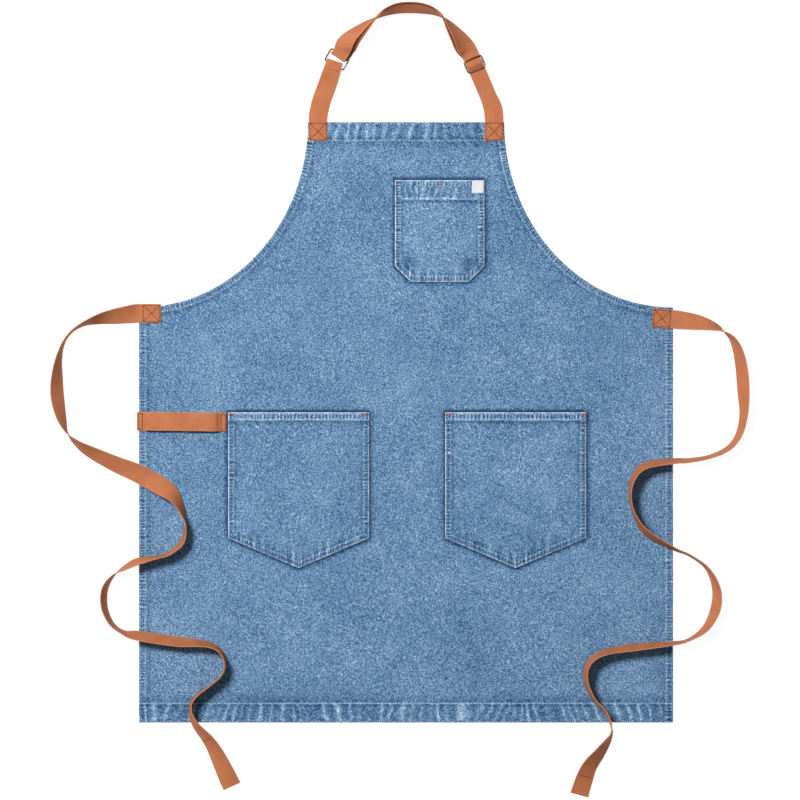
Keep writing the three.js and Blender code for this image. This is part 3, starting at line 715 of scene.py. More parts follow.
def panel_surface(x, y):
    """The cloth's top, and its wear with painted shade beside the hems and round the pockets, from -1 for
    dark hollows to 1 for pale ridges.
    """
    x, y = np.asarray(x, float), np.asarray(y, float)
    distances = edge_distances(x, y)
    height = CLOTH_HEIGHT + 0.00035 * noise(x, y, 0.09, 21) + 0.0002 * noise(x, y, 0.035, 22)
    height += 0.0003
    wear_and_shade = 0.10 * noise(x, y, 0.05, 23) + 0.08 * noise(x, y, 0.018, 24)
    hem = np.zeros_like(height)
    for kind, width in HEMS.items():
        depth = distances[kind]
        inside = smoothstep(width + 0.0008, width - 0.0008, depth) * (depth > -0.002)
        hem = np.maximum(hem, inside)
        run = edge_run(kind, x, y)
        if kind in ("bib", "bottom"):
            ridge = roping(run, depth, 31 if kind == "bib" else 41, 0.0135)
            band = inside * smoothstep(0.0, 0.004, depth)
            height += 0.00055 * ridge * band
            wear_and_shade += band * (0.62 * ridge - 0.02)
            row = bell(depth - width, 0.0014)
            wear_and_shade += row * (0.30 + 0.45 * ticks(run, 51))
            shadow = bell(depth - width + 0.0026, 0.0014)
            wear_and_shade -= 0.45 * shadow
            beyond = smoothstep(width, width + 0.0015, depth)
            beyond = beyond * smoothstep(width + 0.013, width + 0.002, depth)
            pulls = roping(run - 0.8 * (depth - width) * np.sign(depth), depth, 35, 0.006)
            height += 0.00022 * pulls * beyond
            wear_and_shade += (0.34 * pulls - 0.30) * beyond
        else:
            pucker = ticks(run, 61 if kind == "side" else 71)
            height += 0.00030 * pucker * inside
            wear_and_shade += inside * (0.62 * pucker - 0.20)
            row = bell(depth - width + 0.0010, 0.0011)
            wear_and_shade += 0.62 * row
            # painted shade on the cloth just past the side and armhole hems
            beyond = bell(depth - width - 0.002, 0.0018)
            wear_and_shade -= 0.42 * beyond
        rim = bell(np.maximum(depth, 0), 0.0011)
        wear_and_shade += (0.55 + 0.5 * noise_along(run, 0.004, 77)) * rim
    height += (HEM_HEIGHT - CLOTH_HEIGHT) * hem
    wear_and_shade += pocket_painted_shade(x, y)
    return height, wear_and_shade


def pocket_painted_shade(x, y):
    """Painted shade round each pocket's edge: a dark shadow line close to it, fading into a softer darker
    band.
    """
    halo = np.zeros_like(x)
    for outline, middle, top in pocket_places():
        depth = inside_depth(outline(0.0), x - middle, y - top)
        soft = np.where(depth < 0, bell(depth, 0.0050), 1.0)
        # the painted shadow line just outside the pocket's edge
        close = np.where(depth < 0, bell(depth, 0.0021), 1.0)
        halo = np.maximum(halo, 0.25 * soft + 1.5 * close)
    return -halo


def pocket_places():
    return [
        (chest_outline, CHEST["x"], CHEST["top"]),
        (hand_outline, HAND_X["left"], HAND["top"]),
        (hand_outline, HAND_X["right"], HAND["top"]),
    ]


def inside_depth(outline, x, y):
    """How far inside a convex outline each point lies; below zero is outside it."""
    depth = np.full(np.shape(x), 1e9)
    for (ax, ay), (bx, by) in zip(outline, outline[1:] + outline[:1]):
        length = math.hypot(bx - ax, by - ay)
        depth = np.minimum(depth, ((bx - ax) * (y - ay) - (by - ay) * (x - ax)) / -length)
    return depth


def chest_outline(inset):
    """Clockwise from the top left corner, which is level with y = 0."""
    half, low = CHEST["half"] - inset, -CHEST["tall"] + inset
    cut = CHEST["cut"] - inset * (2 - math.sqrt(2))
    right = [(half, -inset), (half, low + cut), (half - cut, low)]
    left = [(-x, y) for x, y in reversed(right)]
    return left[-1:] + right + left[:-1]


def hand_outline(inset):
    half = HAND["half"] - inset
    slant = math.atan2(HAND["tall"] - HAND["side"], HAND["half"])
    point = -HAND["tall"] + inset / math.cos(slant)
    corner = point + half * math.tan(slant)
    return [(-half, -inset), (half, -inset), (half, corner), (0, point), (-half, corner)]


def ring_points(outline, spacing):
    """Points along a closed outline, no further apart than the spacing, keeping its corners."""
    points = []
    for (ax, ay), (bx, by) in zip(outline, outline[1:] + outline[:1]):
        count = max(1, math.ceil(math.hypot(bx - ax, by - ay) / spacing))
        points += [(ax + (bx - ax) * k / count, ay + (by - ay) * k / count) for k in range(count)]
    return points


def panel_outline(inset):
    """Clockwise from the bib's left corner, moved in from the edge."""
    top, bottom, half = PANEL_TOP_Y - inset, PANEL_BOTTOM_Y + inset, PANEL_HALF - inset
    steps = 90
    right = []
    for k in range(steps + 1):
        x, y = arm_point(k / steps, inset)
        if y <= top and x <= half:
            right.append((x, y))
    if right[0][1] < top - 1e-6:
        right.insert(0, (right[0][0], top))
    if right[-1][0] < half - 1e-6:
        right.append((half, right[-1][1]))
    right.append((half, bottom))
    left = [(-x, y) for x, y in reversed(right)]
    return right + left


def cloth_points(outline_at, depths, spacing, cell):
    """Points of a flat cloth: close rows along its edge, and a wider grid inside them."""
    points, rings = [], []
    for depth in depths:
        ring = ring_points(outline_at(depth), spacing)
        rings.append(len(ring))
        points += ring
    ring = np.array(ring_points(outline_at(depths[-1] + cell * 0.6), cell))
    low, high = ring.min(axis=0), ring.max(axis=0)
    xs, ys = np.meshgrid(np.arange(low[0], high[0], cell), np.arange(low[1], high[1], cell))
    return points, rings[0], np.column_stack([xs.ravel(), ys.ravel()])


def triangulate(points, edge_count):
    """Triangles over points whose first `edge_count` are the outline, in order."""
    edges = [(k, (k + 1) % edge_count) for k in range(edge_count)]
    found = delaunay_2d_cdt([Vector(p) for p in points], edges, [list(range(edge_count))], 2, 1e-7)
    return np.array([tuple(p) for p in found[0]]), [tuple(face) for face in found[2]]


def shell(name, flat, faces, edge_count, top, bottom, material):
    """A closed cloth from a flat triangulation, its edge shared by its top and its underside."""
    count = len(flat)
    rim = (top[:edge_count] + bottom[:edge_count]) / 2
    top = top.copy()
    top[:edge_count] = rim
    upper = np.column_stack([flat, top])
    lower = np.column_stack([flat[edge_count:], bottom[edge_count:]])
    shift = count - edge_count
    under = [tuple(v if v < edge_count else v + shift for v in reversed(face)) for face in faces]
    return make_mesh(name, np.vstack([upper, lower]), faces + under, material)


def upward(flat, faces):
    """The faces, each turned so that it faces up."""
    out = []
    for a, b, c in faces:
        cross = np.cross(flat[b] - flat[a], flat[c] - flat[a])
        out.append((a, b, c) if cross > 0 else (a, c, b))
    return out


def round_edge(depth, radius):
    """From 0 at the edge to 1 at one radius in, as a folded edge rounds over."""
    share = np.clip(depth / radius, 0, 1)
    return np.sqrt(1 - (1 - share) ** 2)


EDGE_ROWS = [0.0, 0.0004, 0.0010, 0.0018, 0.0028, 0.0040, 0.0054, 0.0068, 0.0082, 0.0094, 0.0106]


def make_panel():
    points, edge_count, grid = cloth_points(panel_outline, EDGE_ROWS, 0.0014, 0.0045)
    depth = np.min(list(edge_distances(grid[:, 0], grid[:, 1]).values()), axis=0)
    inner = grid[depth > 0.0125]
    bands = []
    for kind, side in (("bib", PANEL_TOP_Y), ("bottom", PANEL_BOTTOM_Y)):
        half = (BIB_HALF if kind == "bib" else PANEL_HALF) - 0.012
        sign = -1 if kind == "bib" else 1
        xs = np.arange(-half, half, 0.0016)
        for row in np.arange(0.0118, 0.0340, 0.0014):
            bands.append(np.column_stack([xs, np.full(len(xs), side + sign * row)]))
    near_band = (inner[:, 1] > PANEL_TOP_Y - 0.036) | (inner[:, 1] < PANEL_BOTTOM_Y + 0.036)
    flat, faces = triangulate(points + np.vstack([inner[~near_band], *bands]).tolist(), edge_count)
    faces = upward(flat, faces)
    distances = edge_distances(flat[:, 0], flat[:, 1])
    top, wear_and_shade = panel_surface(flat[:, 0], flat[:, 1])
    bottom = np.maximum(top - PLY, 0.0003)
    turned = np.zeros(len(flat))
    for kind, width in HEMS.items():
        turned = np.maximum(turned, smoothstep(width + 0.0006, width - 0.0006, distances[kind]))
    bottom = bottom * (1 - turned)
    depth = np.min(list(distances.values()), axis=0)
    middle = HEM_HEIGHT / 2
    roundness = round_edge(np.maximum(depth, 0), 0.0013)
    top = middle + (top - middle) * roundness
    bottom = middle + (bottom - middle) * roundness
    panel = shell("apron_panel_denim", flat, faces, edge_count, top, bottom, DENIM)
    set_values(panel, "wear_and_shade", np.concatenate([wear_and_shade, wear_and_shade[edge_count:]]))
    return sewn(panel, "apron_panel", "denim")


# ---------------------------------------------------------------- pockets


def side_depth(outline, u, v):
    """How far inside a pocket's sewn edges points lie, its open mouth left out."""
    beyond = 0.2
    edges = [(a, b + (beyond if b > -0.001 else 0)) for a, b in outline(0.0)]
    return inside_depth(edges, u, v)


def pocket_height(outline, middle, top_y, x, y):
    """The top of a pocket's cloth."""
    depth = inside_depth(outline(0.0), x - middle, y - top_y)
    sides = side_depth(outline, x - middle, y - top_y)
    base = panel_height(x, y) + 0.0022
    swell = POCKET_RISE * smoothstep(0.004, 0.045, sides)
    drop = 0.0006 * smoothstep(0.0075, 0.0095, depth)
    return base + swell - drop + 0.00025 * noise(x, y, 0.03, 81) * smoothstep(0.008, 0.02, sides)


def pocket_surface(outline, middle, top_y, hem, x, y, seed):
    """A pocket's height, and its wear with painted shade along its seams and below its mouth's hem."""
    u, v = x - middle, y - top_y
    mouth = -v
    sides = side_depth(outline, u, v)
    height = pocket_height(outline, middle, top_y, x, y)
    run = np.where(np.abs(u) > np.abs(outline(0.0)[1][0]) - 0.012, v, u * 1.05)
    pucker = ticks(run, seed, 0.0046)
    band = smoothstep(0.0095, 0.0070, sides) * smoothstep(0.0004, 0.0016, sides)
    height += 0.00022 * pucker * band
    wear_and_shade = 0.10 * noise(x, y, 0.04, seed + 1) + 0.10 * noise(x, y, 0.015, seed + 2)
    wear_and_shade += band * (0.72 * pucker - 0.25)
    # painted shade in the groove of the outer row of stitches
    wear_and_shade -= 0.75 * bell(sides - 0.0026, 0.0009)
    wear_and_shade += 0.45 * bell(sides - 0.0076, 0.0010)
    # painted shade just inside the seam's band
    wear_and_shade -= 0.35 * bell(sides - 0.0100, 0.0016)
    top_pucker = ticks(u, seed + 5, 0.0048)
    if hem > 0.015:
        ridge = roping(u, mouth, seed + 6, 0.009)
        upper = smoothstep(0.0088, 0.0068, mouth) * smoothstep(0.001, 0.003, mouth)
        lower = smoothstep(hem + 0.0008, hem - 0.0008, mouth) * smoothstep(0.0080, 0.0095, mouth)
        height += 0.00025 * top_pucker * upper
        height += 0.0004 * ridge * lower
        wear_and_shade += 0.12
        wear_and_shade += upper * (0.85 * top_pucker - 0.05)
        wear_and_shade += lower * (0.55 * ridge - 0.05)
    else:
        upper = smoothstep(hem, hem - 0.0015, mouth) * smoothstep(0.0012, 0.0030, mouth)
        height += 0.00028 * top_pucker * upper
        wear_and_shade += upper * (0.85 * top_pucker - 0.10)
    row = 0.75 + 0.3 * noise_along(u, 0.008, seed + 7)
    wear_and_shade += row * bell(mouth - hem + 0.0005, 0.0014)
    # painted shadow below the mouth's hem
    wear_and_shade -= 0.60 * bell(mouth - hem - 0.0028, 0.0022)
    pull = bell(mouth - hem - 0.008, 0.008)
    wear_and_shade += 0.42 * pull * roping(u - 0.8 * mouth, 0 * u, seed + 8, 0.008)
    if hem > 0.015:
        corner = np.hypot(np.abs(u) - CHEST["half"] + 0.021, mouth - CHEST["tall"] + 0.025)
        wear_and_shade -= 0.75 * bell(corner, 0.0095)
    low = smoothstep(0.030, 0.006, sides) * smoothstep(0.72, 0.86, mouth / -outline(0.0)[3][1])
    wear_and_shade += 0.55 * low * roping(u, 0.2 * mouth, seed + 9, 0.011)
    rim = np.exp(-(np.maximum(np.minimum(sides, mouth), 0) / 0.0014) ** 4)
    return height, wear_and_shade + (1.25 + 0.4 * noise(x, y, 0.006, seed + 11)) * rim


def make_pocket(name, outline, middle, top_y, hem, seed):
    rows = EDGE_ROWS + [0.0120]
    points, edge_count, grid = cloth_points(outline, rows, 0.0012, 0.0036)
    depth = inside_depth(outline(0.0), grid[:, 0], grid[:, 1])
    inner = grid[depth > 0.0138]
    half = outline(0.0)[1][0]
    bands = []
    if hem > 0.015:
        inner = inner[inner[:, 1] < -hem - 0.006]
        xs = np.arange(-half + 0.0132, half - 0.0132, 0.0014)
        for row in np.arange(0.0132, hem + 0.005, 0.0014):
            bands.append(np.column_stack([xs, np.full(len(xs), -row)]))
    flat, faces = triangulate(points + np.vstack([inner, *bands]).tolist(), edge_count)
    faces = upward(flat, faces)
    depth = inside_depth(outline(0.0), flat[:, 0], flat[:, 1])
    x, y = flat[:, 0] + middle, flat[:, 1] + top_y
    top, wear_and_shade = pocket_surface(outline, middle, top_y, hem, x, y, seed)
    panel = panel_height(x, y)
    sides = side_depth(outline, flat[:, 0], flat[:, 1])
    bottom = panel + 0.0003 + (top - 0.0012 - panel - 0.0003) * smoothstep(0.0065, 0.012, sides)
    centre = (top + bottom) / 2
    roundness = round_edge(np.maximum(depth, 0), 0.0010)
    top = centre + (top - centre) * roundness
    bottom = centre + (bottom - centre) * roundness
    pocket = shell(f"{name}_denim", np.column_stack([x, y]), faces, edge_count, top, bottom, DENIM)
    set_values(pocket, "wear_and_shade", np.concatenate([wear_and_shade, wear_and_shade[edge_count:]]))
    return sewn(pocket, name, "denim")


PANEL = make_panel()
POCKETS = {
    "chest_pocket": make_pocket("chest_pocket", chest_outline, CHEST["x"], CHEST["top"], CHEST["hem"], 101),
    "left_hand_pocket": make_pocket(
        "left_hand_pocket", hand_outline, HAND_X["left"], HAND["top"], HAND["hem"], 121
    ),
    "right_hand_pocket": make_pocket(
        "right_hand_pocket", hand_outline, HAND_X["right"], HAND["top"], HAND["hem"], 141
    ),
}

# ---------------------------------------------------------------- rows of thread on the denim


def lifted(points, z=0.0):
    return [(x, y, z) for x, y in points]


def sew_panel():
    def row(node, lines, thread=PALE):
        lines = [lifted(line) for line in lines]
        made = make_stitches(f"{node}_thread", lines, thread, height=panel_height)
        sewn(made, node, "pale_thread")

    inner = NECK_X - TAPE / 2
    bib, bottom = PANEL_TOP_Y - HEMS["bib"], PANEL_BOTTOM_Y + HEMS["bottom"]
    xs = np.linspace(-inner, inner, 60)
    row("bib_hem_stitching", [[(x, bib) for x in xs]])
    side = PANEL_HALF - 0.001
    xs = np.linspace(-side, side, 160)
    row("bottom_hem_stitching", [[(x, bottom) for x in xs]])
    for name, sign in (("left", -1), ("right", 1)):
        ys = np.linspace(0.047, PANEL_BOTTOM_Y + 0.003, 120)
        lines = [[(sign * (PANEL_HALF - inset), y) for y in ys] for inset in (0.0022, 0.0084)]
        row(f"{name}_side_seam_stitching", lines, BLUE)
        lines = []
        for inset in (0.0022, 0.0076):
            curve = [arm_point(0.075 + 0.82 * k / 120, inset) for k in range(121)]
            lines.append([(sign * x, y) for x, y in curve])
        row(f"{name}_armhole_stitching", lines, BLUE)


def sew_pocket(name, outline, middle, top_y, hem):
    def height(x, y):
        return pocket_height(outline, middle, top_y, np.array(x), np.array(y)) + 0.0001

    def round_line(inset):
        corners = outline(inset)
        line = corners[1:] + corners[:1]
        line[0] = (line[0][0], -0.004)
        line[-1] = (line[-1][0], -0.004)
        return [(x + middle, y + top_y) for x, y in line]

    def fine(line):
        out = []
        for (ax, ay), (bx, by) in zip(line, line[1:]):
            count = max(2, int(math.hypot(bx - ax, by - ay) / 0.004))
            out += [(ax + (bx - ax) * k / count, ay + (by - ay) * k / count) for k in range(count)]
        return lifted(out + [line[-1]])

    edge = make_stitches(
        f"{name}_edge_thread", [fine(round_line(0.0026)), fine(round_line(0.0070))], BLUE, height=height
    )
    sewn(edge, f"{name}_edge_stitching", "pale_thread")
    half = outline(0.0)[1][0] - 0.001
    lines = [[(middle - half, top_y - hem), (middle + half, top_y - hem)]]
    if hem > 0.015:
        lines.append([(middle - half + 0.008, top_y - 0.0045), (middle + half - 0.016, top_y - 0.0045)])
    else:
        lines.append([(middle - half + 0.008, top_y - 0.0030), (middle + half - 0.008, top_y - 0.0030)])
    mouth = make_stitches(f"{name}_mouth_thread", [fine(line) for line in lines], BLUE, height=height)
    sewn(mouth, f"{name}_mouth_stitching", "pale_thread")
    return height


def sew_pockets():
    chest = sew_pocket("chest_pocket", chest_outline, CHEST["x"], CHEST["top"], CHEST["hem"])

    def tack(node, x, y, height, degrees=0):
        made = make_tack(f"{node}_thread", x, y, 0.007, 0.0024, float(height(x, y)) + 0.0002, degrees)
        sewn(made, node, "rust_thread")

    tack("chest_pocket_left_bar_tack", CHEST["x"] - CHEST["half"] + 0.006, CHEST["top"] - 0.0022, chest)
    tack("chest_pocket_pen_slot_bar_tack", CHEST["x"], CHEST["top"] - 0.0055, chest)
    slot_x = CHEST["x"] + 0.008
    slot_ys = np.linspace(CHEST["top"] - 0.003, CHEST["top"] - CHEST["hem"] + 0.001, 12)
    line = [(slot_x, y, 0) for y in slot_ys]
    slot_row = make_stitches("pen_slot_thread", [line], BLUE, height=chest)
    sewn(slot_row, "pen_slot_stitching", "pale_thread")
    for name, middle in HAND_X.items():
        height = sew_pocket(f"{name}_hand_pocket", hand_outline, middle, HAND["top"], HAND["hem"])
        reach = HAND["half"] - 0.0045
        outer = math.copysign(reach, middle)
        tack(f"{name}_hand_pocket_outer_bar_tack", middle + outer, HAND["top"] - 0.003, height)
        tack(f"{name}_hand_pocket_inner_bar_tack", middle - outer, HAND["top"] - 0.003, height)


sew_panel()
sew_pockets()

# ---------------------------------------------------------------- labels


def rounded_outline(x, y, wide, tall, corner, steps=6):
    """Anticlockwise, from the middle of the right side's lower end."""
    points = []
    for quarter in range(4):
        cx = x + (wide / 2 - corner) * (1 if quarter in (0, 3) else -1)
        cy = y + (tall / 2 - corner) * (1 if quarter in (0, 1) else -1)
        for k in range(steps + 1):
            angle = (quarter + k / steps) * math.pi / 2
            points.append((cx + corner * math.cos(angle), cy + corner * math.sin(angle)))
    return points


def make_label(name, place, height, thick):
    """A small woven label: a thin pad with soft edges, slightly crowned."""
    count = 14
    u, v = np.meshgrid(np.linspace(-1, 1, count), np.linspace(-1, 1, count))
    edge = np.minimum(1 - np.abs(u), 1 - np.abs(v))
    px, py = place["x"] + u * place["wide"] / 2, place["y"] + v * place["tall"] / 2
    crown = round_edge(edge, 0.12)
    top = height(px, py) + thick * (0.35 + 0.65 * crown)
    low = height(px, py) + thick * 0.05
    points = np.vstack([
        np.column_stack([px.ravel(), py.ravel(), top.ravel()]),
        np.column_stack([px.ravel(), py.ravel(), low.ravel()]),
    ])
    upper = grid_faces(count, count)
    lower = [tuple(k + count * count for k in reversed(face)) for face in upper]
    rim = list(range(count)) + list(range(2 * count - 1, count * count, count))
    rim += list(range(count * count - 2, count * (count - 1) - 1, -1))
    rim += list(range(count * (count - 2), 0, -count))
    walls = [(b, a, a + count * count, b + count * count) for a, b in zip(rim, rim[1:] + rim[:1])]
    return make_mesh(name, points, upper + lower + walls, LABEL)


def make_labels():
    def chest_height(x, y):
        return pocket_height(chest_outline, CHEST["x"], CHEST["top"], x, y) + 0.0002

    front = make_label("chest_label_cloth", CHEST_LABEL, chest_height, 0.0005)
    sewn(front, "chest_pocket_label", "label")
    place = BACK_LABEL
    back = make_label("back_label_cloth", place, lambda x, y: 0.0 * x + 0.0001, 0.0003)
    sewn(back, "back_label", "label")
    outline = rounded_outline(place["x"], place["y"], **BACK_ROW)
    line = lifted(outline + outline[:1])
    row = make_stitches("back_label_thread", [line], PALE, height=panel_height, thick=0.0003)
    sewn(row, "back_label_stitching", "pale_thread")


make_labels()

# ---------------------------------------------------------------- sewn tape ends and towel loop


def box_corners(x, y, wide, tall, height, degrees=0):
    """The corners of a level box, turned about its middle."""
    u, v = wide / 2, tall / 2
    return place_level([(-u, -v), (u, -v), (u, v), (-u, v)], x, y, degrees, height)


def box_sides(corner):
    """The four sides between four corners, in order."""
    return [[corner[k], corner[(k + 1) % 4]] for k in range(4)]


def make_sewn_end(name, thread_name, x, y, heading, box_turn):
    """The end of a strap or tie, flat on a hem, with its box of stitches."""
    end = make_tape(f"{name}_tape", straight_frames(x, y, SEWN, heading, ON_HEM))
    sewn(end, name, "webbing")
    top = ON_HEM + TAPE_THICK / 2
    corner = box_corners(x, y, TAPE - 0.0030, TAPE - 0.0030, top + 0.00005, box_turn)
    lines = box_sides(corner) + [[corner[0], corner[2]], [corner[1], corner[3]]]
    thread = make_stitches(f"{thread_name}_thread", lines, RUST, length=0.0024, gap=0.0006, thick=0.00050)
    sewn(thread, thread_name, "rust_thread")


def make_sewn_ends():
    for side, sign in (("left", -1), ("right", 1)):
        x, y = sign * NECK_X, PANEL_TOP_Y - SEWN / 2
        make_sewn_end(f"{side}_neck_strap_sewn_end", f"{side}_neck_box_stitching", x, y, 0, 0)
        x, y, turn = WAIST[side]
        make_sewn_end(f"{side}_waist_tie_sewn_end", f"{side}_waist_box_stitching", x, y, turn + 90, turn)


def make_towel_loop():
    low = 0.0033
    left, right, y, sewn_length, rise = (TOWEL[k] for k in ("left", "right", "y", "sewn", "rise"))
    route = [
        (left, y, 0, low),
        (left + sewn_length, y, 0, low),
        (left + 2.2 * sewn_length, y, 0, low + rise),
        ((left + right) / 2, y - 0.0005, 0, low + rise),
        (right - 2.2 * sewn_length, y - 0.001, 0, low + rise),
        (right - sewn_length, y - 0.001, 0, low),
        (right, y - 0.001, 0, low),
    ]
    loop = make_tape("towel_loop_tape", tape_frames(route, 72))
    sewn(loop, "towel_loop", "webbing")
    top = low + TAPE_THICK + 0.00005
    for name, x, drop in (("outer", left + 0.0042, 0.0), ("inner", right - 0.0042, 0.001)):
        lines = box_sides(box_corners(x, y - drop, 0.0060, TAPE - 0.0044, top))
        row = make_stitches(
            f"towel_loop_{name}_thread", lines, RUST, length=0.0022, gap=0.0007, thick=0.00055
        )
        sewn(row, f"towel_loop_{name}_stitching", "rust_thread")


make_sewn_ends()
make_towel_loop()

# ---------------------------------------------------------------- neck straps

RING_UP, SLIDE_UP = direction(RING["turn"]), direction(SLIDE["turn"])
SHORT_UP, LONG_UP = direction(-18), direction(-34)  # how the two straps come to the ring
RING_MIDDLE = np.array([RING["x"], RING["y"], RING_Z])
BAR_REACH = (RING["short"] - RING["wire"]) / 2
NEAR_BAR = RING_MIDDLE - RING_UP * BAR_REACH
FAR_BAR = RING_MIDDLE + RING_UP * BAR_REACH
AT_BAR = 2 * BAR_ROOM
UP_RIGHT = np.array([0.7071, 0.7071, 0.0])
RING_SLACK = 0.0016  # how much larger the ring is than its CAD node; its near bar stays in place
RING_END = 0.036  # how much of the long strap, before its fold at the ring, goes into its ring end piece
FOOT_TOP = 0.3440  # up to here, the long strap is its separate foot piece
SHORT_STEPS, LONG_STEPS = 72, 312  # sections along the straps
SHORT_ROW = 58  # the section of the short strap with its row of thread
HIDDEN_END_SHADE = 0.75  # how dark the painted shade on the long strap's hidden end is


def make_short_strap():
    """From the bib, up round the ring's near bar, and back under itself."""
    fold = NEAR_BAR + SHORT_UP * 0.0036
    far, near = fold - SHORT_UP * 0.028, fold - SHORT_UP * 0.007
    route = [
        (-NECK_X, PANEL_TOP_Y - 0.0003, 0, 0.0025),
        (-NECK_X, 0.325, 0, 0.0021),
        (-0.1154, 0.337, 0, TABLE),
        (-0.1116, 0.351, 0, TABLE),
        (far[0], far[1], 0, TABLE, LAYER, TAPE),
        (near[0], near[1], 0, TABLE, AT_BAR, TAPE_FOLD + 0.001),
        (fold[0], fold[1], 0, TABLE, AT_BAR, TAPE_FOLD),
    ]
    frames = tape_frames(route, SHORT_STEPS)
    turn = turn_frames(np.array([fold[0], fold[1], RING_Z]), SHORT_UP, BAR_ROOM, TAPE_FOLD)
    tail = cut_frames(turn, -1)
    share = np.linspace(0.1, 1, 10)[:, None]
    tail = {key: np.repeat(values, len(share), axis=0) for key, values in tail.items()}
    tail["middle"] = tail["middle"] - SHORT_UP * 0.026 * share
    strap = make_tape("short_neck_strap_tape", join_frames(cut_frames(frames, None, -1), turn, tail))
    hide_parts("short_neck_strap")
    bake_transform(strap)

    normal = frames["normal"][SHORT_ROW]
    middle = frames["middle"][SHORT_ROW] + normal * (TAPE_THICK / 2 + 0.00002)
    reach = frames["side"][SHORT_ROW] * (TAPE / 2 - 0.002)
    thread = make_stitches(
        "short_strap_thread", [[middle - reach, middle + reach]], RUST, thick=0.00026, up=normal
    )
    sewn(thread, "short_strap_stitching", "rust_thread", "neck_loop")


def long_route():
    fold = FAR_BAR - LONG_UP * 0.0024 - UP_RIGHT * 0.0006
    arrive = fold + LONG_UP * 0.007
    return [
        (NECK_X, PANEL_TOP_Y - 0.0003, 0, 0.0025),
        (NECK_X, 0.325, 0, 0.0021),
        (0.1158, 0.338, 0, TABLE),
        (0.1102, 0.3525, 0, TABLE, 0, TAPE_NARROW),
        (0.1033, 0.3686, 0, TABLE, LAYER, TAPE_NARROW),
        (0.0974, 0.3826, 0, TABLE, LAYER, TAPE_NARROW),
        (SLIDE["x"], SLIDE["y"], 0, TABLE, LAYER, TAPE_NARROW),
        (0.0871, 0.4067, 0, TABLE, LAYER, TAPE_NARROW),
        (0.0838, 0.4130, -5, TABLE, LAYER, 0.0235),
        (0.0792, 0.4202, -21, TABLE, 0.0019, TAPE),
        (0.0702, 0.4340, -47, TABLE, 0.0028, TAPE),
        (0.0600, 0.4470, -66, TABLE, 0.0020, TAPE),
        (0.0487, 0.4600, -90, TABLE, 0.0016, TAPE),
        (0.0360, 0.4672, -106, TABLE, 0.0022, TAPE),
        (0.0220, 0.4706, -117, TABLE, 0.0028, TAPE),
        (0.0050, 0.4717, -120, TABLE, 0.0028, TAPE),
        (-0.0120, 0.4705, -117, TABLE, 0.0028, TAPE),
        (-0.0270, 0.4660, -106, TABLE, 0.0022, TAPE),
        (-0.0390, 0.4592, -90, TABLE, 0.0016, TAPE),
        (-0.0500, 0.4520, -74, TABLE, 0.0022, TAPE),
        (-0.0615, 0.4430, -60, TABLE, 0.0036, TAPE),
        (-0.0732, 0.4330, -43, TABLE, 0.0048, TAPE),
        (-0.0815, 0.4226, -20, TABLE, 0.0050, TAPE),
        (arrive[0], arrive[1], 0, TABLE, AT_BAR, TAPE_FOLD),
        (fold[0], fold[1], 0, TABLE, AT_BAR, TAPE_FOLD),
    ]


def make_long_strap():
    """From the bib up through the slide, over the arch on its edge, round the ring, and back under."""
    frames = tape_frames(long_route(), LONG_STEPS)
    length = tape_lengths(frames)
    y = frames["middle"][:, 1]
    foot = int(np.argmax(y > FOOT_TOP))
    loose = int(np.argmax(length > length[-1] - RING_END))
    at_slide = int(np.argmax(y > SLIDE["y"] - 0.001))

    fold = frames["middle"][-1].copy()
    fold[2] = RING_Z
    turn = turn_frames(fold, -LONG_UP, BAR_ROOM, TAPE_FOLD)
    under = {key: values[at_slide:-1][::-1].copy() for key, values in frames.items()}
    from_ring = length[-1] - length[at_slide:-1][::-1]
    from_slide = from_ring[-1] - from_ring
    aside = 0.0034 * smoothstep(-0.006, 0.008, from_ring) * smoothstep(0.004, 0.042, from_slide)
    under["middle"] = under["middle"] - under["normal"] * under["lift"][:, None]
    under["middle"] = under["middle"] - under["side"] * aside[:, None]
    under["normal"] = -under["normal"]
    back = len(frames["middle"]) - 1 - loose
    # painted shade on the hidden end near the ring, and on the under layer's upturned edge in the gap below
    # the upper layer
    under["painted_shade"] = HIDDEN_END_SHADE * smoothstep(0.062, 0.030, from_ring)
    under["crease"] = 0.9 * smoothstep(0.05, 0.3, under["normal"][:, 2])
    for stretch in (frames, turn):
        stretch["painted_shade"] = np.zeros(len(stretch["middle"]))
        stretch["crease"] = np.zeros(len(stretch["middle"]))
    # painted shade round the fold at the ring
    turn["painted_shade"] = HIDDEN_END_SHADE * smoothstep(8, 12, np.arange(TURN_ROWS))

    foot_part = make_tape("long_neck_strap_foot", cut_frames(frames, None, foot + 1))
    upper = make_tape("long_neck_strap_tape", cut_frames(frames, foot, loose + 1), start=length[foot])
    folded = join_frames(cut_frames(frames, loose, -1), turn, cut_frames(under, None, back))
    ring_end = make_tape("long_neck_strap_ring_end", folded, start=length[loose])
    lower = make_tape("long_neck_strap_under", cut_frames(under, back - 1), start=0.3)
    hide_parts("long_neck_strap")
    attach(upper, "neck_loop")
    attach(lower, "neck_loop")
    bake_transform(foot_part)
    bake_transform(ring_end)


def make_hump():
    """The stretch of the strap that humps over the slide's middle bar."""
    steps = 40
    share = np.linspace(-1, 1, steps + 1)
    reach = 0.0061
    low = TABLE + LAYER + TAPE_THICK + 0.0006
    high = SLIDE_Z + SLIDE["wire"] / 2 + 0.0008
    middle = np.array([SLIDE["x"], SLIDE["y"], 0]) + SLIDE_UP * (share * reach)[:, None]
    middle[:, 2] = low + (high - low) * (0.5 + 0.5 * np.cos(share * math.pi)) ** 0.7
    along = unit(np.gradient(middle, axis=0))
    side = np.cross(SLIDE_UP, UP)
    frames = even_frames(middle, side, np.cross(side, along), TAPE_NARROW - 0.0006)
    hump = make_tape("strap_over_slide_bar_tape", frames, thick=0.0009)
    sewn(hump, "strap_over_slide_bar", "webbing", "adjuster")


make_short_strap()
make_long_strap()
make_hump()

# ---------------------------------------------------------------- ring and slide


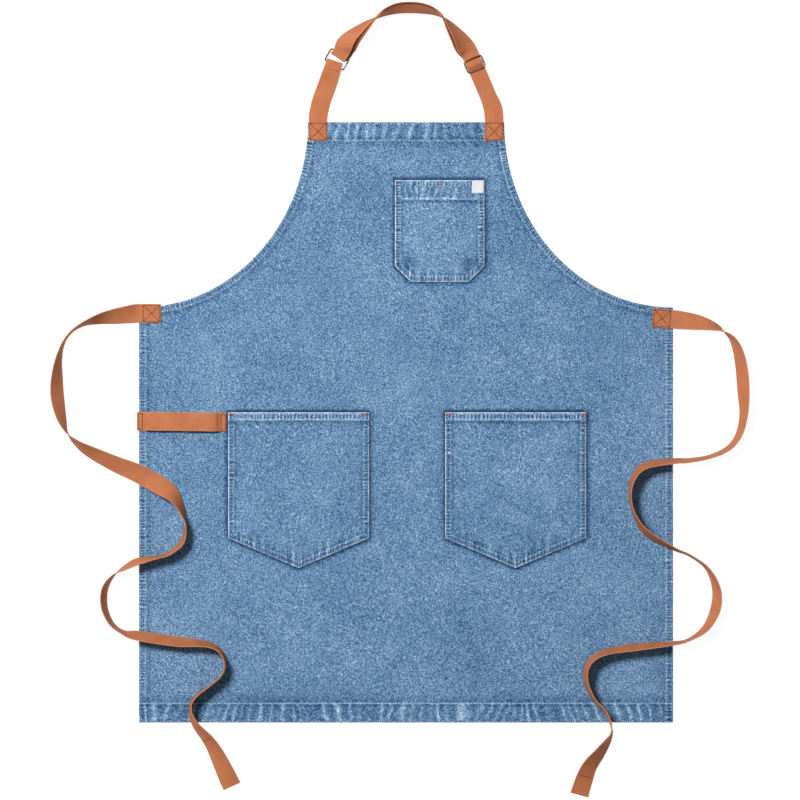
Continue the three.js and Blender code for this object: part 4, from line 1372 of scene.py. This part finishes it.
def wire_along(points, radius, sides=12, closed=True):
    """The points and faces of a round wire along level points."""
    line = np.array(points)
    if closed:
        ahead, behind = np.roll(line, -1, axis=0), np.roll(line, 1, axis=0)
    else:
        ahead, behind = np.vstack([line[1:], line[-1:]]), np.vstack([line[:1], line[:-1]])
    along = unit(ahead - behind)
    side = unit(np.cross(along, UP))
    angle = np.linspace(0, 2 * math.pi, sides, endpoint=False)
    spread = side[:, None, :] * np.cos(angle)[None, :, None] + UP * np.sin(angle)[None, :, None]
    rings = line[:, None, :] + spread * radius
    rows = len(line)
    faces = grid_faces(rows, sides, closed=True)
    if closed:
        last = (rows - 1) * sides
        faces += [(last + k, last + (k + 1) % sides, (k + 1) % sides, k) for k in range(sides)]
    else:
        faces.append(tuple(reversed(range(sides))))
        faces.append(tuple(range((rows - 1) * sides, rows * sides)))
    return rings.reshape(-1, 3), faces


def make_hardware():
    for name, spec, z, material, slot, body in (
        ("strap_ring", RING, RING_Z, RING_METAL, "ring_metal", "ring"),
        ("slide_adjuster", SLIDE, SLIDE_Z, SLIDE_METAL, "slide_metal", "adjuster"),
    ):
        wire = spec["wire"]
        slack = RING_SLACK if body == "ring" else 0.0
        loop = rounded_outline(
            0, slack / 2, spec["long"] - wire + slack, spec["short"] - wire + slack, 0.0028, 8
        )
        points, faces = wire_along(place_level(loop, spec["x"], spec["y"], spec["turn"], z), wire / 2, 14)
        if name == "slide_adjuster":
            reach = spec["long"] / 2 - wire / 2
            bar = place_level([(-reach, 0), (0, 0), (reach, 0)], spec["x"], spec["y"], spec["turn"], z)
            more, bar_faces = wire_along(bar, wire / 2 * 0.9, 14, closed=False)
            faces = faces + [tuple(k + len(points) for k in face) for face in bar_faces]
            points = np.vstack([points, more])
        made = make_mesh(f"{name}_wire", points, faces, material)
        sewn(made, name, slot, body)


make_hardware()

# ---------------------------------------------------------------- floor and light


def make_floor():
    size, drop = 6.0, -0.0001
    count = 9
    u, v = np.meshgrid(np.linspace(-size, size, count), np.linspace(-size, size, count))
    points = np.column_stack([u.ravel(), v.ravel(), np.full(u.size, drop)])
    floor = make_mesh("floor", points, grid_faces(count, count), floor_material())
    floor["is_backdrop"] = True


def area_light(name, place, size, power, target=(0, -0.05, 0)):
    light = bpy.data.lights.new(name, "AREA")
    light.shape = "DISK"
    light.size = size
    light.energy = power
    lamp = bpy.data.objects.new(name, light)
    lamp.location = place
    lamp.rotation_euler = (Vector(target) - Vector(place)).to_track_quat("-Z", "Y").to_euler()
    bpy.context.scene.collection.objects.link(lamp)


def make_light():
    area_light("key", (-1.9, 1.5, 4.2), 1.3, 285)
    area_light("fill", (2.2, -1.6, 3.6), 3.0, 12)
    world = bpy.data.worlds.new("studio")
    world.use_nodes = True
    world.node_tree.nodes["Background"].inputs["Color"].default_value = (1.0, 1.0, 1.0, 1)
    world.node_tree.nodes["Background"].inputs["Strength"].default_value = 0.14
    bpy.context.scene.world = world
    bpy.context.scene.view_settings.view_transform = "Standard"


make_floor()
make_light()


def write_sizes():
    """The CAD part's box and the visual model's, put into lists that nothing keeps."""
    boxes = {"cad": CAD_BOX, "visual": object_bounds()}
    {name: [list(corner) for corner in box] for name, box in boxes.items()}


write_sizes()
